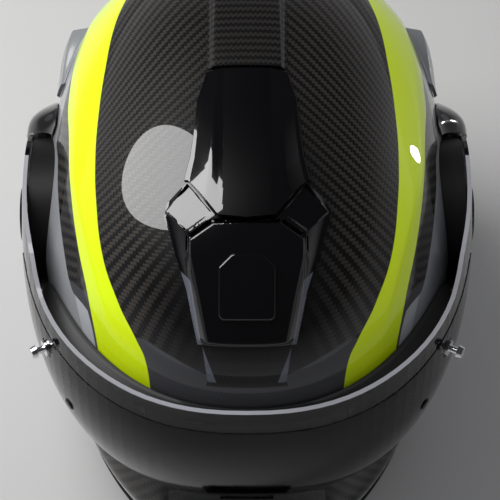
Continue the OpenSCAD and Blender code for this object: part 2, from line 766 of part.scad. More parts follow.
// Rear spoiler, which hoods the exhaust ports
spoiler_start = 135.2;
spoiler_end = 162;
module rear_spoiler() {
    shares = [-1, -0.9, -0.7, -0.35, 0, 0.35, 0.7, 0.9, 1];
    steps = [0, 0.15, 0.35, 0.6, 0.85, 1];
    function half(t) = blend(40, 60, ease(t));
    function height(u, t) = blend(0.9, blend(2.6, 12, t), ease((1 - abs(u)) / 0.35) * ease(t / 0.15 + 0.2));
    function hollow(u, t) = abs(u) < 0.8 && t > 0.3 ? height(u, t) - 2.4 : seat_gap;
    function at(u, t, h) = skin(u * half(t), blend(spoiler_start, spoiler_end, t), h);
    color([0.05, 0.05, 0.06])
        slab([for (t = steps) [for (u = shares) at(u, t, height(u, t))]],
             [for (t = steps) [for (u = shares) at(u, t, hollow(u, t))]]);
}

// Side fins, open at the front and the back
fin_front = hinge_y + 66;
fin_back = hinge_y + 114;
fin_wall = 2.4;
module side_fin(side) {
    shares = [-1, -0.9, -0.72, 0, 0.72, 0.9, 1];
    function place(t, u) =
        let(y = blend(fin_front, fin_back, t) - 7 * (u + 1) * t,
            z = blend(182, 178, t) + u * blend(5, 21, ease(t * 0.8 + 0.2)))
        [y, z];
    function lift(t) = blend(2.2, 9, ease(t * 0.9 + 0.05));
    function height(t, u) = blend(0.9, lift(t), ease((1 - abs(u)) / 0.26));
    function hollow(t, u) = abs(u) < 0.8 && t > 0.2 ? lift(t) - fin_wall : seat_gap;
    function at(t, u, h) = let(q = place(t, u)) [side_at(q[0], q[1], 0) + h, q[0], q[1]];
    steps = [0, 0.25, 0.45, 0.65, 0.85, 1];
    color([0.35, 0.36, 0.38])
        on_side(side)
            slab([for (t = steps) [for (u = shares) at(t, u, height(t, u))]],
                 [for (t = steps) [for (u = shares) at(t, u, hollow(t, u))]]);
}
module side_fin_left() {
    side_fin(1);
}
module side_fin_right() {
    side_fin(-1);
}

// Hinge mechanism: plate, pod, cap, screws and the sprung release
// The plate stops short of the arm, which slides over it
arm_lift = 3.8;
plate_face = visor_half - arm_lift;
arm_outer = visor_half + visor_wall;
groove_deep = 2.6;
groove_slack = 0.15;
// Depth of the plate before its back is shaped to the shell
plate_deep = 22.2;
module side_mass(gap) {
    ys = spread(hinge_y - 52, hinge_y + 52, 8);
    zs = spread(hinge_z - 52, hinge_z + 52, 8);
    slab([for (z = zs) [for (y = ys) [side_at(y, z, 0) + gap, y, z]]],
         [for (z = zs) [for (y = ys) [half_width - 37.5, y, z]]]);
}
lever_wide = 9;
lever_thick = 2.6;
lever_head = 4;
spring_turns = 4;
spring_wire = 0.5;
spring_seat = hub_radius + 3;
// The spring has room for its closed turns and three times the lever's travel
lever_start = spring_seat + spring_turns * spring_wire + 3 * release_travel;
module lever_slot() {
    head_wide = lever_wide + 4 + 2 * slide_gap;
    translate([spring_seat, -lever_wide / 2 - slide_gap, plate_face - lever_thick - 2 * slide_gap])
        cube([plate_radius, lever_wide + 2 * slide_gap, 10]);
    translate([spring_seat, -head_wide / 2, plate_face - lever_thick - 2 * slide_gap])
        cube([lever_start + lever_head + slide_gap - spring_seat, head_wide, 10]);
}
module groove(deep) {
    r = guide_radius + groove_slack;
    turn = visor_swing;
    rotate([0, 0, 270 - guide_angle - turn])
        rotate_extrude(angle = turn, $fn = 96)
            translate([groove_radius - r, 0])
                square([2 * r, deep]);
    for (pitch = [guide_angle, guide_angle + turn])
        rotate([0, 0, 270 - pitch])
            translate([groove_radius, 0, 0])
                cylinder(r = r, h = deep, $fn = 48);
}
module pivot_plate(side) {
    color([0.09, 0.09, 0.1])
        on_side(side)
            difference() {
                at_pitch(0, 0, 0) {
                    translate([0, 0, plate_face - plate_deep])
                        cylinder(r = plate_radius, h = plate_deep, $fn = 96);
                    translate([0, 0, plate_face - 1])
                        cylinder(r = hub_radius, h = arm_outer + 0.3 - plate_face + 1, $fn = 96);
                }
                side_mass(seat_gap);
                at_pitch(0, 0, 0) {
                    translate([0, 0, plate_face - groove_deep])
                        groove(groove_deep + 1);
                    lever_slot();
                    translate([0, 0, arm_outer - 8])
                        cylinder(r = screw_radius, h = 20, $fn = 32);
                }
                for (pitch = plate_screw_pitches) {
                    at_pitch(pitch, plate_screw_radius, 90)
                        cylinder(r = screw_radius + seat_gap, h = 60, $fn = 32);
                    at_pitch(pitch, plate_screw_radius, plate_face - 2)
                        cylinder(r = 3.2 + seat_gap, h = 10, $fn = 32);
                }
            }
}
module pivot_plate_left() {
    pivot_plate(1);
}
module pivot_plate_right() {
    pivot_plate(-1);
}
module hub_cap(side) {
    color([0.2, 0.2, 0.21])
        on_side(side)
            at_pitch(0, 0, arm_outer + 0.3)
                difference() {
                    union() {
                        cylinder(r1 = cap_radius, r2 = cap_radius - 1, h = 1.5, $fn = 96);
                        translate([0, 0, -7])
                            cylinder(r = screw_radius - 0.05, h = 7.2, $fn = 32);
                    }
                    translate([0, 0, 1.6])
                        cube([1.6, 9, 1.6], center = true);
                }
}
module hub_cap_left() {
    hub_cap(1);
}
module hub_cap_right() {
    hub_cap(-1);
}
module screw(x_head, long) {
    translate([0, 0, x_head - 1.8])
        difference() {
            cylinder(r = 3.2, h = 1.8, $fn = 32);
            translate([0, 0, 1.6])
                cube([1, 4, 1.4], center = true);
            translate([0, 0, 1.6])
                cube([4, 1, 1.4], center = true);
        }
    translate([0, 0, x_head - 1.8 - long])
        cylinder(r = screw_radius, h = long + 0.5, $fn = 32);
}
// A screw ends inside the shell's wall
function screw_long(y, z, head) = head - 1.8 - (side_at(y, z, 0) - shell_wall + seat_gap);
module plate_screws() {
    color("silver")
        both()
            for (pitch = plate_screw_pitches)
                at_pitch(pitch, plate_screw_radius, 0)
                    screw(plate_face - 0.2,
                          screw_long(hinge_y - plate_screw_radius * cos(pitch),
                                     hinge_z + plate_screw_radius * sin(pitch), plate_face - 0.2));
}
// The pod clears the arm that swings inside it, and the plate
pod_inner = max(arm_radius, plate_radius) + 1.4;
pod_from = 128;
pod_to = 255;
pod_top = arm_outer + 0.8;
pod_reaches = [[pod_from, 53], [142, 61], [160, 68], [180, 71], [200, 69], [225, 62], [242, 57],
               [pod_to, 52]];
function pod_reach(pitch) = lookup(pitch, pod_reaches);
module side_pod(side) {
    pitches = spread(pod_from, pod_to, 15);
    shares = [0, 0.18, 0.5, 0.8, 1];
    function at(pitch, t) =
        let(r = blend(pod_inner, pod_reach(pitch), t)) [hinge_y - r * cos(pitch), hinge_z + r * sin(pitch)];
    function skin_x(q) = side_at(q[0], q[1], 0);
    function outer_x(q, t, pitch) =
        let(end = ease((pitch - pod_from) / 14 + 0.1) * ease((pod_to - pitch) / 20 + 0.1))
        blend(skin_x(q) + 1.6, pod_top - 0.8 * t, (1 - pow(t, 3)) * end);
    color([0.05, 0.05, 0.06])
        on_side(side)
            moulded()
                difference() {
                    slab([for (p = pitches) [for (t = shares)
                             let(q = at(p, t)) [outer_x(q, t, p), q[0], q[1]]]],
                         [for (p = pitches) [for (t = shares)
                             let(q = at(p, t)) [skin_x(q) + seat_gap, q[0], q[1]]]]);
                    translate([90, hinge_y + pod_screw[0], hinge_z + pod_screw[1]])
                        rotate([0, 90, 0])
                            cylinder(r = screw_radius + seat_gap, h = 60, $fn = 24);
                    translate([pod_screw_x - 2, hinge_y + pod_screw[0], hinge_z + pod_screw[1]])
                        rotate([0, 90, 0])
                            cylinder(r = 3.2 + seat_gap, h = 20, $fn = 24);
                }
}
pod_screw_x = visor_half - 0.6;
module side_pod_left() {
    side_pod(1);
}
module side_pod_right() {
    side_pod(-1);
}
module pod_screws() {
    color("silver")
        both()
            translate([0, hinge_y + pod_screw[0], hinge_z + pod_screw[1]])
                rotate([0, 90, 0])
                    screw(pod_screw_x,
                          screw_long(hinge_y + pod_screw[0], hinge_z + pod_screw[1], pod_screw_x));
}
lever_long = 22;
module release_lever(side) {
    low = plate_face - lever_thick - slide_gap;
    color([0.25, 0.25, 0.26])
        on_side(side)
            at_pitch(0, 0, 0)
                difference() {
                    union() {
                        translate([lever_start, -lever_wide / 2, low])
                            cube([lever_long, lever_wide, lever_thick]);
                        translate([lever_start, -lever_wide / 2 - 2, low])
                            cube([lever_head, lever_wide + 4, lever_thick]);
                        translate([lever_start + lever_long, 0, low])
                            cylinder(r = lever_wide / 2, h = lever_thick, $fn = 48);
                    }
                    translate([lever_start + lever_long - 1, -20, plate_face - 0.9])
                        cube([1, 40, 2]);
                }
}
module release_lever_left() {
    release_lever(1);
}
module release_lever_right() {
    release_lever(-1);
}
module release_spring(side) {
    low = spring_seat + 0.2;
    high = lever_start - 0.2;
    steps = 8 * spring_turns;
    function at(k) =
        let(a = 45 * k,
            c = [blend(low + spring_wire / 2, high - spring_wire / 2, k / steps), 0, plate_face - 1.6])
        [for (m = [0 : 5])
            let(q = 1 - spring_wire / 2 * cos(60 * m))
            [c[0] + spring_wire / 2 * sin(60 * m), q * cos(a), c[2] + q * sin(a)]];
    color("silver")
        on_side(side)
            at_pitch(0, 0, 0)
                bar([for (k = [0 : steps]) at(k)], false);
}
module release_spring_left() {
    release_spring(1);
}
module release_spring_right() {
    release_spring(-1);
}

// Visor: a sheet turned round its own axis and trimmed to its outline
visor_steps = 26;
function visor_curve(half, reach, share) = [reach * pow(cos(90 * share), 2 / visor_power),
                                            half * pow(sin(90 * share), 2 / visor_power)];
function visor_profile(inner, outer) = concat(
    [for (k = [0 : visor_steps]) visor_curve(visor_half + inner, visor_reach + inner, k / visor_steps)],
    [for (k = [0 : visor_steps]) visor_curve(visor_half + outer, visor_reach + outer, 1 - k / visor_steps)]);
module visor_sheet(inner, outer) {
    translate(centre)
        rotate([0, 90, 0])
            both_ends()
                rotate_extrude($fn = 96)
                    polygon(visor_profile(inner, outer));
}
module both_ends() {
    children();
    mirror([0, 0, 1])
        children();
}
function top_edge(y) =
    visor_top - 2.5 * ease((y + 140) / 45) + 9.5 * ease((y + 88) / 34) - 4.2 * ease((y + 50) / 42);
function low_edge(y) = visor_low + (hinge_z - arm_radius - visor_low) * ease((y + 96) / 90);
visor_outline = concat(
    [[-visor_reach - 30, visor_top]],
    [for (y = [-150 : 6 : -12]) [y, top_edge(y)]],
    [for (k = [0 : 18]) let(p = 80 + 10 * k) [-arm_radius * cos(p), hinge_z + arm_radius * sin(p)]],
    [[0, hinge_z - arm_radius]],
    [for (y = [-24 : -9 : -105]) [y, low_edge(y)]],
    [[-visor_reach - 30, visor_low]]);
module outline_prism(points) {
    translate([-200, hinge_y, 0])
        rotate([90, 0, 90])
            linear_extrude(400)
                polygon(points);
}
// A place on the visor: its distance from the middle and its angle up from straight ahead
function visor_radius(x) = visor_reach * pow(1 - pow(abs(x) / visor_half, visor_power), 1 / visor_power);
function visor_turn(x) =
    atan2(pow(visor_radius(x), visor_power - 1) / pow(visor_reach, visor_power),
          pow(abs(x), visor_power - 1) / pow(visor_half, visor_power));
module on_visor(x, pitch) {
    translate(centre)
        rotate([-pitch, 0, 0])
            translate([x, -visor_radius(x), 0])
                rotate([0, 0, -visor_turn(x)])
                    rotate([0, 90, 0])
                        children();
}
post_x = visor_half - 19;
post_pitch = 8;
post_hole = 2;
lens_pin_x = visor_half - 30;
lens_pin_pitch = -8;
lens_pin_radius = 1.8;
tab_half = 15;
module visor() {
    color([0.25, 0.27, 0.3, 0.45]) {
        difference() {
            intersection() {
                visor_sheet(0, visor_wall);
                outline_prism(visor_outline);
            }
            translate([-200, hinge_y, hinge_z])
                rotate([0, 90, 0])
                    cylinder(r = hub_radius + hub_play, h = 400, $fn = 96);
            both() {
                on_visor(post_x, post_pitch)
                    translate([0, 0, -5])
                        cylinder(r = post_hole + 0.05, h = 15, $fn = 32);
                on_visor(lens_pin_x, lens_pin_pitch)
                    translate([0, 0, -5])
                        cylinder(r = lens_pin_radius + 0.05, h = 15, $fn = 32);
            }
        }
        both()
            at_pitch(guide_angle, groove_radius, plate_face - groove_deep + slide_gap)
                cylinder(r = guide_radius, h = arm_lift + groove_deep - slide_gap - 1.1, $fn = 48);
        visor_tab();
    }
}
// The lip that a thumb lifts
module visor_tab() {
    reach = visor_reach + visor_wall;
    low = visor_low - 0.5;
    y = -sqrt(pow(reach - 0.6, 2) - pow(hinge_z - low, 2));
    translate([-tab_half, hinge_y, 0])
        rotate([90, 0, 90])
            linear_extrude(2 * tab_half)
                polygon([[y + 0.9, low + 0.6], [y - 3.4, low + 2.2],
                         [y - 3.4, low + 4], [y + 0.4, low + 7]]);
}
// The film covers the sheet from its upper band down to the lower edge, as far back as the arms
sheet_far = visor_reach + 30;
film_top = hinge_z + 28;
film_back = -52;
film_edge = 2.5;
film_outline = concat(
    [[-sheet_far, film_top]],
    [[film_back - 8, film_top]],
    [for (k = [0 : 6]) [film_back + 12 * sin(15 * k), film_top - 12 + 12 * cos(15 * k)]],
    [for (y = [film_back + 12 : -9 : -106]) [y, low_edge(y) + film_edge]],
    [[-sheet_far, visor_low + film_edge]]);
module visor_film() {
    color([0.6, 0.6, 0.62, 0.3])
        difference() {
            intersection() {
                visor_sheet(visor_wall + 0.05, visor_wall + 0.35);
                outline_prism(film_outline);
            }
            both()
                on_visor(post_x, post_pitch)
                    cylinder(r = 5.6, h = 15, $fn = 32);
            both()
                on_visor(lens_pin_x, lens_pin_pitch)
                    cylinder(r = 4, h = 15, $fn = 32);
            // Room for the visor's tab
            translate([-tab_half - 1.5, -sheet_far, visor_low - 6])
                cube([2 * tab_half + 3, sheet_far, 15]);
        }
}
// The lens is a band with round ends
lens_back = 40 - visor_reach;
lens_mid = hinge_z - 15;
lens_round = 14;
lens_outline = concat(
    [for (k = [0 : 6]) [lens_back + lens_round * sin(15 * k), lens_mid + 23 + lens_round * cos(15 * k)]],
    [for (k = [0 : 6]) [lens_back + lens_round * cos(15 * k), lens_mid - 23 - lens_round * sin(15 * k)]],
    [[-sheet_far, lens_mid - 41]],
    [[-sheet_far, lens_mid + 37]]);
module fog_lens() {
    color([0.8, 0.85, 0.9, 0.3])
        difference() {
            intersection() {
                visor_sheet(-1.5, -0.5);
                outline_prism(lens_outline);
            }
            both()
                on_visor(lens_pin_x, lens_pin_pitch)
                    translate([0, 0, -6])
                        cylinder(r = lens_pin_radius + 0.3, h = 8, $fn = 32);
        }
}
module fog_lens_pins() {
    color([0.1, 0.1, 0.1])
        both()
            on_visor(lens_pin_x, lens_pin_pitch) {
                translate([0, 0, -1.8])
                    cylinder(r = lens_pin_radius, h = 1.8 + visor_wall + 0.9, $fn = 32);
                translate([0, 0, visor_wall + 0.3])
                    cylinder(r = 3.2, h = 0.9, $fn = 32);
                translate([0, 0, -2.3])
                    cylinder(r = 3, h = 0.6, $fn = 32);
            }
}
module tear_off_posts() {
    color([0.85, 0.85, 0.88])
        both()
            on_visor(post_x, post_pitch) {
                translate([0, 0, -1.4])
                    cylinder(r = 4, h = 1.2, $fn = 32);
                translate([0, 0, -1])
                    cylinder(r = post_hole, h = visor_wall + 10, $fn = 32);
                translate([0, 0, visor_wall + 0.4])
                    cylinder(r = 4.6, h = 1.6, $fn = 32);
                translate([0, 0, visor_wall + 6.6])
                    cylinder(r1 = 3.8, r2 = 3.2, h = 3, $fn = 32);
            }
}

// Chin strap: two webbings, a pair of rings and their anchors
ring_x = 40;
ring_level = 10;
ring_radius = 1.7;
ring_apart = 1.95;
loop_inner = ring_apart + ring_radius + 0.25;
anchor_x = side_at(strap_y, strap_z, 0);
strap_inset = shell_wall + bead_lip + slide_gap + strap_thick / 2;
strap_x = side_at(strap_y, strap_z, 0) - strap_inset;
strap_turn = 8;
function strap_side(z) = side_at(strap_y, z, 0) - strap_inset - 0.3;
function strap_line(end_x, end_z) =
    let(low = strap_turn + 13)
    concat(
        [for (z = [strap_z + 9, strap_z, strap_z - 8, low + 4]) [strap_side(z), z]],
        [for (k = [0 : 4]) [strap_side(low) - strap_turn * (1 - cos(22.5 * k)),
                            low - strap_turn * sin(22.5 * k)]],
        [[strap_x - 26, 12.4], [(strap_x + end_x) / 2 - 8, min(12, end_z)], [end_x, end_z]]);
module webbing(line, wide) {
    last = len(line) - 1;
    function normal(k) =
        let(d = line[min(last, k + 1)] - line[max(0, k - 1)]) [-d[1], d[0]] / norm(d);
    bar([for (k = [0 : last])
        let(n = normal(k) * strap_thick / 2, p = line[k])
        [[p[0] + n[0], strap_y - wide / 2, p[1] + n[1]], [p[0] + n[0], strap_y + wide / 2, p[1] + n[1]],
         [p[0] - n[0], strap_y + wide / 2, p[1] - n[1]], [p[0] - n[0], strap_y - wide / 2, p[1] - n[1]]]],
        false);
}
module strap_hole() {
    translate([80, strap_y, strap_z])
        rotate([0, 90, 0])
            cylinder(r = rivet_radius + seat_gap, h = 50, $fn = 32);
}
module chin_strap_left() {
    color([0.1, 0.1, 0.11])
        difference() {
            union() {
                webbing(strap_line(ring_x + loop_inner + strap_thick / 2, ring_level), strap_wide);
                translate([ring_x, strap_y + strap_wide / 2, ring_level])
                    rotate([90, 0, 0])
                        cylinder(r = loop_inner + strap_thick, h = strap_wide, $fn = 48);
            }
            translate([ring_x, strap_y + strap_wide, ring_level])
                rotate([90, 0, 0])
                    cylinder(r = loop_inner, h = 2 * strap_wide, $fn = 48);
            strap_hole();
        }
}
module chin_strap_right() {
    color([0.1, 0.1, 0.11])
        mirror([1, 0, 0])
            difference() {
                webbing(strap_line(-4, 8), strap_wide);
                strap_hole();
            }
}
ring_half = strap_wide / 2 + 3;
module d_ring(level) {
    color("silver")
        translate([ring_x, strap_y, ring_level + level]) {
            translate([0, ring_half, 0])
                rotate([90, 0, 0])
                    cylinder(r = ring_radius, h = 2 * ring_half, $fn = 32);
            for (y = [-ring_half, ring_half])
                translate([0, y, 0]) {
                    sphere(r = ring_radius, $fn = 32);
                    rotate([0, -90, 0])
                        cylinder(r = ring_radius, h = 9, $fn = 32);
                }
            translate([-9, 0, 0])
                rotate([0, 0, 90])
                    rotate_extrude(angle = 180, $fn = 64)
                        translate([ring_half, 0])
                            circle(r = ring_radius, $fn = 24);
        }
}
module d_ring_upper() {
    d_ring(ring_apart);
}
module d_ring_lower() {
    d_ring(-ring_apart);
}
module strap_anchors() {
    color("silver")
        both()
            translate([0, strap_y, strap_z])
                rotate([0, 90, 0]) {
                    translate([0, 0, anchor_x + 1.4])
                        cylinder(r1 = 7, r2 = 6, h = 1.3, $fn = 48);
                    translate([0, 0, strap_x - strap_thick / 2 - 1.6])
                        cylinder(r = rivet_radius, h = anchor_x - strap_x + strap_thick / 2 + 3.2, $fn = 32);
                    translate([0, 0, strap_x - strap_thick / 2 - 2.4])
                        cylinder(r1 = 5, r2 = 6, h = 1.2, $fn = 48);
                }
}

outer_shell();
rim_trim();
eyeport_seal();
impact_liner();
chin_liner();
cheek_core_left();
cheek_core_right();
cheek_pad_left();
cheek_pad_right();
crown_pad();
neck_roll();
breath_guard();
chin_curtain();
brow_vent_housing();
brow_vent_slider();
brow_vent_mesh();
top_scoop();
chin_vent_housing();
chin_vent_shutter();
chin_vent_mesh();
rear_spoiler();
side_fin_left();
side_fin_right();
pivot_plate_left();
pivot_plate_right();
hub_cap_left();
hub_cap_right();
plate_screws();
side_pod_left();
side_pod_right();
pod_screws();
release_lever_left();
release_lever_right();
release_spring_left();
release_spring_right();
visor();
visor_film();
fog_lens();
fog_lens_pins();
tear_off_posts();
chin_strap_left();
chin_strap_right();
d_ring_upper();
d_ring_lower();
strap_anchors();
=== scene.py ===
"""Looks of a full face sport helmet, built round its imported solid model."""
import json
import math

import bpy
import numpy as np
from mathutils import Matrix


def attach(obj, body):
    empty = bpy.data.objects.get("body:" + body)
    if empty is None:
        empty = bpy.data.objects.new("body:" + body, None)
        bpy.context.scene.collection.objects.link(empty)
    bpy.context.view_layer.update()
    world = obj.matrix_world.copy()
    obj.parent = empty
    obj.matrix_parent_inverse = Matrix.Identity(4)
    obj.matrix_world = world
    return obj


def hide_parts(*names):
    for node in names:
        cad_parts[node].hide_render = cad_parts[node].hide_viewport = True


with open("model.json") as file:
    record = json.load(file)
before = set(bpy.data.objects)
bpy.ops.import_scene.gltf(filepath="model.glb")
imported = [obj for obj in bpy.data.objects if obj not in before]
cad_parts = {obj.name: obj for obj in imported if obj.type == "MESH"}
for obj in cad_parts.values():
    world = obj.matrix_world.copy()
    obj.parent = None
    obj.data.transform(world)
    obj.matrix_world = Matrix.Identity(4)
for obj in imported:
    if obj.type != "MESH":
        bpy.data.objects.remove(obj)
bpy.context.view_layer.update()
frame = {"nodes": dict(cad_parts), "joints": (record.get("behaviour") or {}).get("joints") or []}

bl_info = {
    "name": "Full Face Sport Helmet",
    "version": (1, 0, 0),
    "blender": (4, 5, 0),
    "location": "3D View > Sidebar > Helmet",
    "description": "Builds the visible pieces, finishes and studio of a full face sport helmet",
    "category": "Object",
}

MM = 0.001
AXIS = {j["name"]: j.get("pos_m") for j in frame["joints"]}
HINGE_Y = AXIS["visor_hinge"][1] / MM
HINGE_Z = AXIS["visor_hinge"][2] / MM
RING_X, RING_Z = (AXIS["strap_ring_swing"][i] / MM for i in (0, 2))


# Sizes and colours that a user would change

def length(name, text, default):
    return bpy.props.FloatProperty(name=name, description=text, default=default * MM, unit="LENGTH",
                                   precision=5)


def colour(name, text, default):
    return bpy.props.FloatVectorProperty(name=name, description=text, default=default, subtype="COLOR",
                                         size=3, min=0, max=1)


class HelmetSizes(bpy.types.PropertyGroup):
    """Sizes of the shell and of what sits on it, as the solid model has them"""
    half_width: length("Half width", "Half of the width over the ears", 117.5)
    crown_z: length("Crown height", "Height of the crown", 262)
    widest_z: length("Widest level", "Height where the shell is widest", 142)
    front_reach: length("Brow reach", "Reach of the brow ahead of the visor's axis", 152)
    chin_reach: length("Chin reach", "Reach of the chin bar ahead of the axis", 168)
    back_reach: length("Back reach", "Reach of the back behind the axis", 168)
    nape_reach: length("Nape reach", "Reach of the nape behind the axis, at the rim", 128)
    shell_wall: length("Shell wall", "Wall of the shell", 3)
    rim_z: length("Rim height", "Height of the rim's lower edge at the front", 3)
    rim_arch: length("Rim arch", "Rise of the rim at the sides", 6)
    port_z: length("Opening level", "Height of the middle of the eye opening", 130)
    port_half: length("Opening half height", "Half of the opening's height", 50)
    visor_half: length("Visor half width", "Half of the width inside the visor's arms", 126)
    visor_reach: length("Visor reach", "Reach of the visor's inner face ahead of its axis", 160)
    visor_low: length("Visor's lower edge", "Height of the visor's lower edge at the front", 76)
    visor_top: length("Visor's upper edge", "Height of the visor's upper edge at the front", 192.5)
    brow_rise: length("Brow housing", "Height of the brow housing over the shell", 6.2)
    scoop_rise: length("Scoop", "Height of the top scoop at its mouth", 7)
    chin_rise: length("Chin housing", "Height of the chin housing over the shell", 4)
    liner_thick: length("Liner", "Thickness of the impact liner", 28)
    crown_pad_thick: length("Crown pad", "Thickness of the crown pad", 8)
    cheek_low: length("Cheek pad's foot", "Height of the lower edge of the cheek pads", 22)
    cheek_top: length("Cheek pad's top", "Height of the upper edge of the cheek pads", 100)
    strap_wide: length("Webbing width", "Width of the chin strap's webbing", 22)
    strap_thick: length("Webbing thickness", "Thickness of the chin strap's webbing", 1.8)


class HelmetColours(bpy.types.PropertyGroup):
    """Colours of the paint, the carbon and the trim"""
    band: colour("Band", "Fluorescent band over each side", (0.74, 0.96, 0.0))
    # The carbon's two tones are a painted sheen and painted shade: lit and shaded copies of the one black
    # cloth
    tow_light: colour("Carbon, lit tows", "Tows that catch the light", (0.045, 0.039, 0.033))
    tow_dark: colour("Carbon, dark tows", "Tows that turn away from the light", (0.003, 0.003, 0.0035))
    panel: colour("Side panel", "Grey panel outside each band", (0.30, 0.31, 0.325))
    patch: colour("Panel patch", "Paler patch at the front of a panel", (0.44, 0.45, 0.47))
    brow: colour("Brow band", "Dark grey along the brow", (0.055, 0.056, 0.062))
    sliver: colour("Slivers", "Blue-grey wedges beside the brow housing", (0.10, 0.105, 0.13))
    gloss: colour("Gloss black", "Moulded gloss parts", (0.0018, 0.0018, 0.0024))
    matte: colour("Matte black", "Moulded matte parts", (0.010, 0.010, 0.0105))
    fin: colour("Fins", "Satin grey fins", (0.20, 0.21, 0.22))
    rubber: colour("Rubber", "Seal and trim", (0.012, 0.012, 0.012))
    foam: colour("Foam", "Bead foam of the liners", (0.035, 0.035, 0.038))
    cloth: colour("Cloth", "Knit of the comfort pads", (0.030, 0.031, 0.034))
    webbing: colour("Webbing", "Woven chin strap", (0.022, 0.022, 0.024))
    floor: colour("Floor", "Studio floor", (0.58, 0.575, 0.57))


class HelmetFinish(bpy.types.PropertyGroup):
    """Scale of weave and stitching, and the camera"""
    tow: length("Tow width", "Width of one carbon tow", 1.9)
    knit: length("Knit pitch", "Spacing of the knit's loops", 1.3)
    bead: length("Foam bead", "Diameter of the liner's beads", 3.2)
    elevation: bpy.props.FloatProperty(name="Camera elevation", description="Angle below the horizontal",
                                       default=math.radians(55), subtype="ANGLE")
    distance: length("Camera distance", "From the visor's axis to the camera", 1150)


def mm(group):
    """A property group's sizes as plain millimetres"""
    return type("Sizes", (), {key: getattr(group, key) / MM for key in group.__annotations__})()


# Curves of the shell, in millimetres

SIDE_POWER = 2.15
FRONT_LEVEL, FRONT_POWER = 156, 2.3
BACK_LEVEL, BACK_POWER = 160, 2.2
CHIN_RUN = 75
TUCK_REACH, TUCK_POWER = 235, 2.4
VISOR_POWER = 2.35
PORT_POWER, PORT_END, PORT_ANGLE, PORT_LEAN = 5, 0.99, 67, 2
LEDGE_GAP, LEDGE_RUN = 4.5, 20
CENTRE = np.array([0, HINGE_Y, HINGE_Z])
SOFT_GAP, SEAT_GAP, SEAL_GAP = 0.6, 0.2, 2.7
RIM_LIP, STRAP_PLAY = 1.8, 0.3
# The slider's place and how far a degree of pitch runs along the shell there
SLIDER_PITCH, SLIDER_HALF, MM_PER_DEGREE = 39.3, 6.5, 2.55
BROW_PORT_PITCH, TOP_PORT_PITCH, BACK_PORT_PITCH = 41.6, 76, 148
# The front edge of the brow housing, and its rear edge: distance from the middle, and pitch
HOUSING_FRONT = 27.6
HOUSING_REAR = ([0, 15, 31, 36, 43], [53.4, 54, 62.6, 60.5, 57])
HOUSING_PLATE = [(-60, 53.2), (17.6, 53.2), (29.4, 49.6), (30.2, 36.2), (25, 28.4), (-60, 27.8)]
HOUSING_DIAMOND = [(31, 62.2), (42.5, 55.5), (31, 51.2), (18.5, 55.4)]
BUTTON_OUTLINE = [(-14.5, -17), (14.5, -17), (14.5, 10), (7.5, 17), (-7.5, 17), (-14.5, 10)]
# Half widths of the brow housing and of the scoop by the share of the way back
HOUSING_HALF = ([0, 0.3, 0.55, 0.9, 1], [25.5, 31, 37, 43, 42])
SCOOP_HALF = ([0, 0.2, 0.4, 0.75, 1], [33, 30, 28.4, 26.6, 22])
# The scoop's rise by the share of the way out from its middle
SCOOP_CREASES = ([0, 0.62, 0.66, 0.93, 1], [1, 0.98, 0.93, 0.14, 0.06])
# Where the scoop starts beside the housing and where it ends (pitch), and the half width of its top
SCOOP_SIDE, SCOOP_END, SCOOP_TOP_HALF = 63.5, 98, 12.6
RIDGE_HALF, RIDGE_RISE, RIDGE_PITCHES = 22, 2.5, (99, 134)
SPOILER_HALVES, SPOILER_RISES, SPOILER_PITCHES = (40, 60), (2.6, 12), (135.2, 162)
# Insets between which the linings are cut away behind the eye opening
LINING_CUT = (-14, 52)
# A pod's outer edge: angle round the hinge, and radius
POD_EDGE = ([128, 142, 160, 180, 200, 225, 242, 255], [53, 61, 68, 71, 69, 62, 57, 52])
POD_FACE, POD_INNER = 129, 47.4
# The part of its width over which a hollow piece is hollow, and the wall that is left over the hollow
HOLLOW_PART, HOLLOW_WALL = 0.8, 2.4


def ease(t):
    u = np.clip(t, 0, 1)
    return u * u * (3 - 2 * u)


def mix(a, b, t):
    return a + (b - a) * t


def bend(value, power):
    return np.sign(value) * np.abs(value) ** power


def sind(a):
    return np.sin(np.radians(a))


def cosd(a):
    return np.cos(np.radians(a))


def stacked(x, y, z):
    return np.stack(np.broadcast_arrays(x, y, z), axis=-1).astype(float)


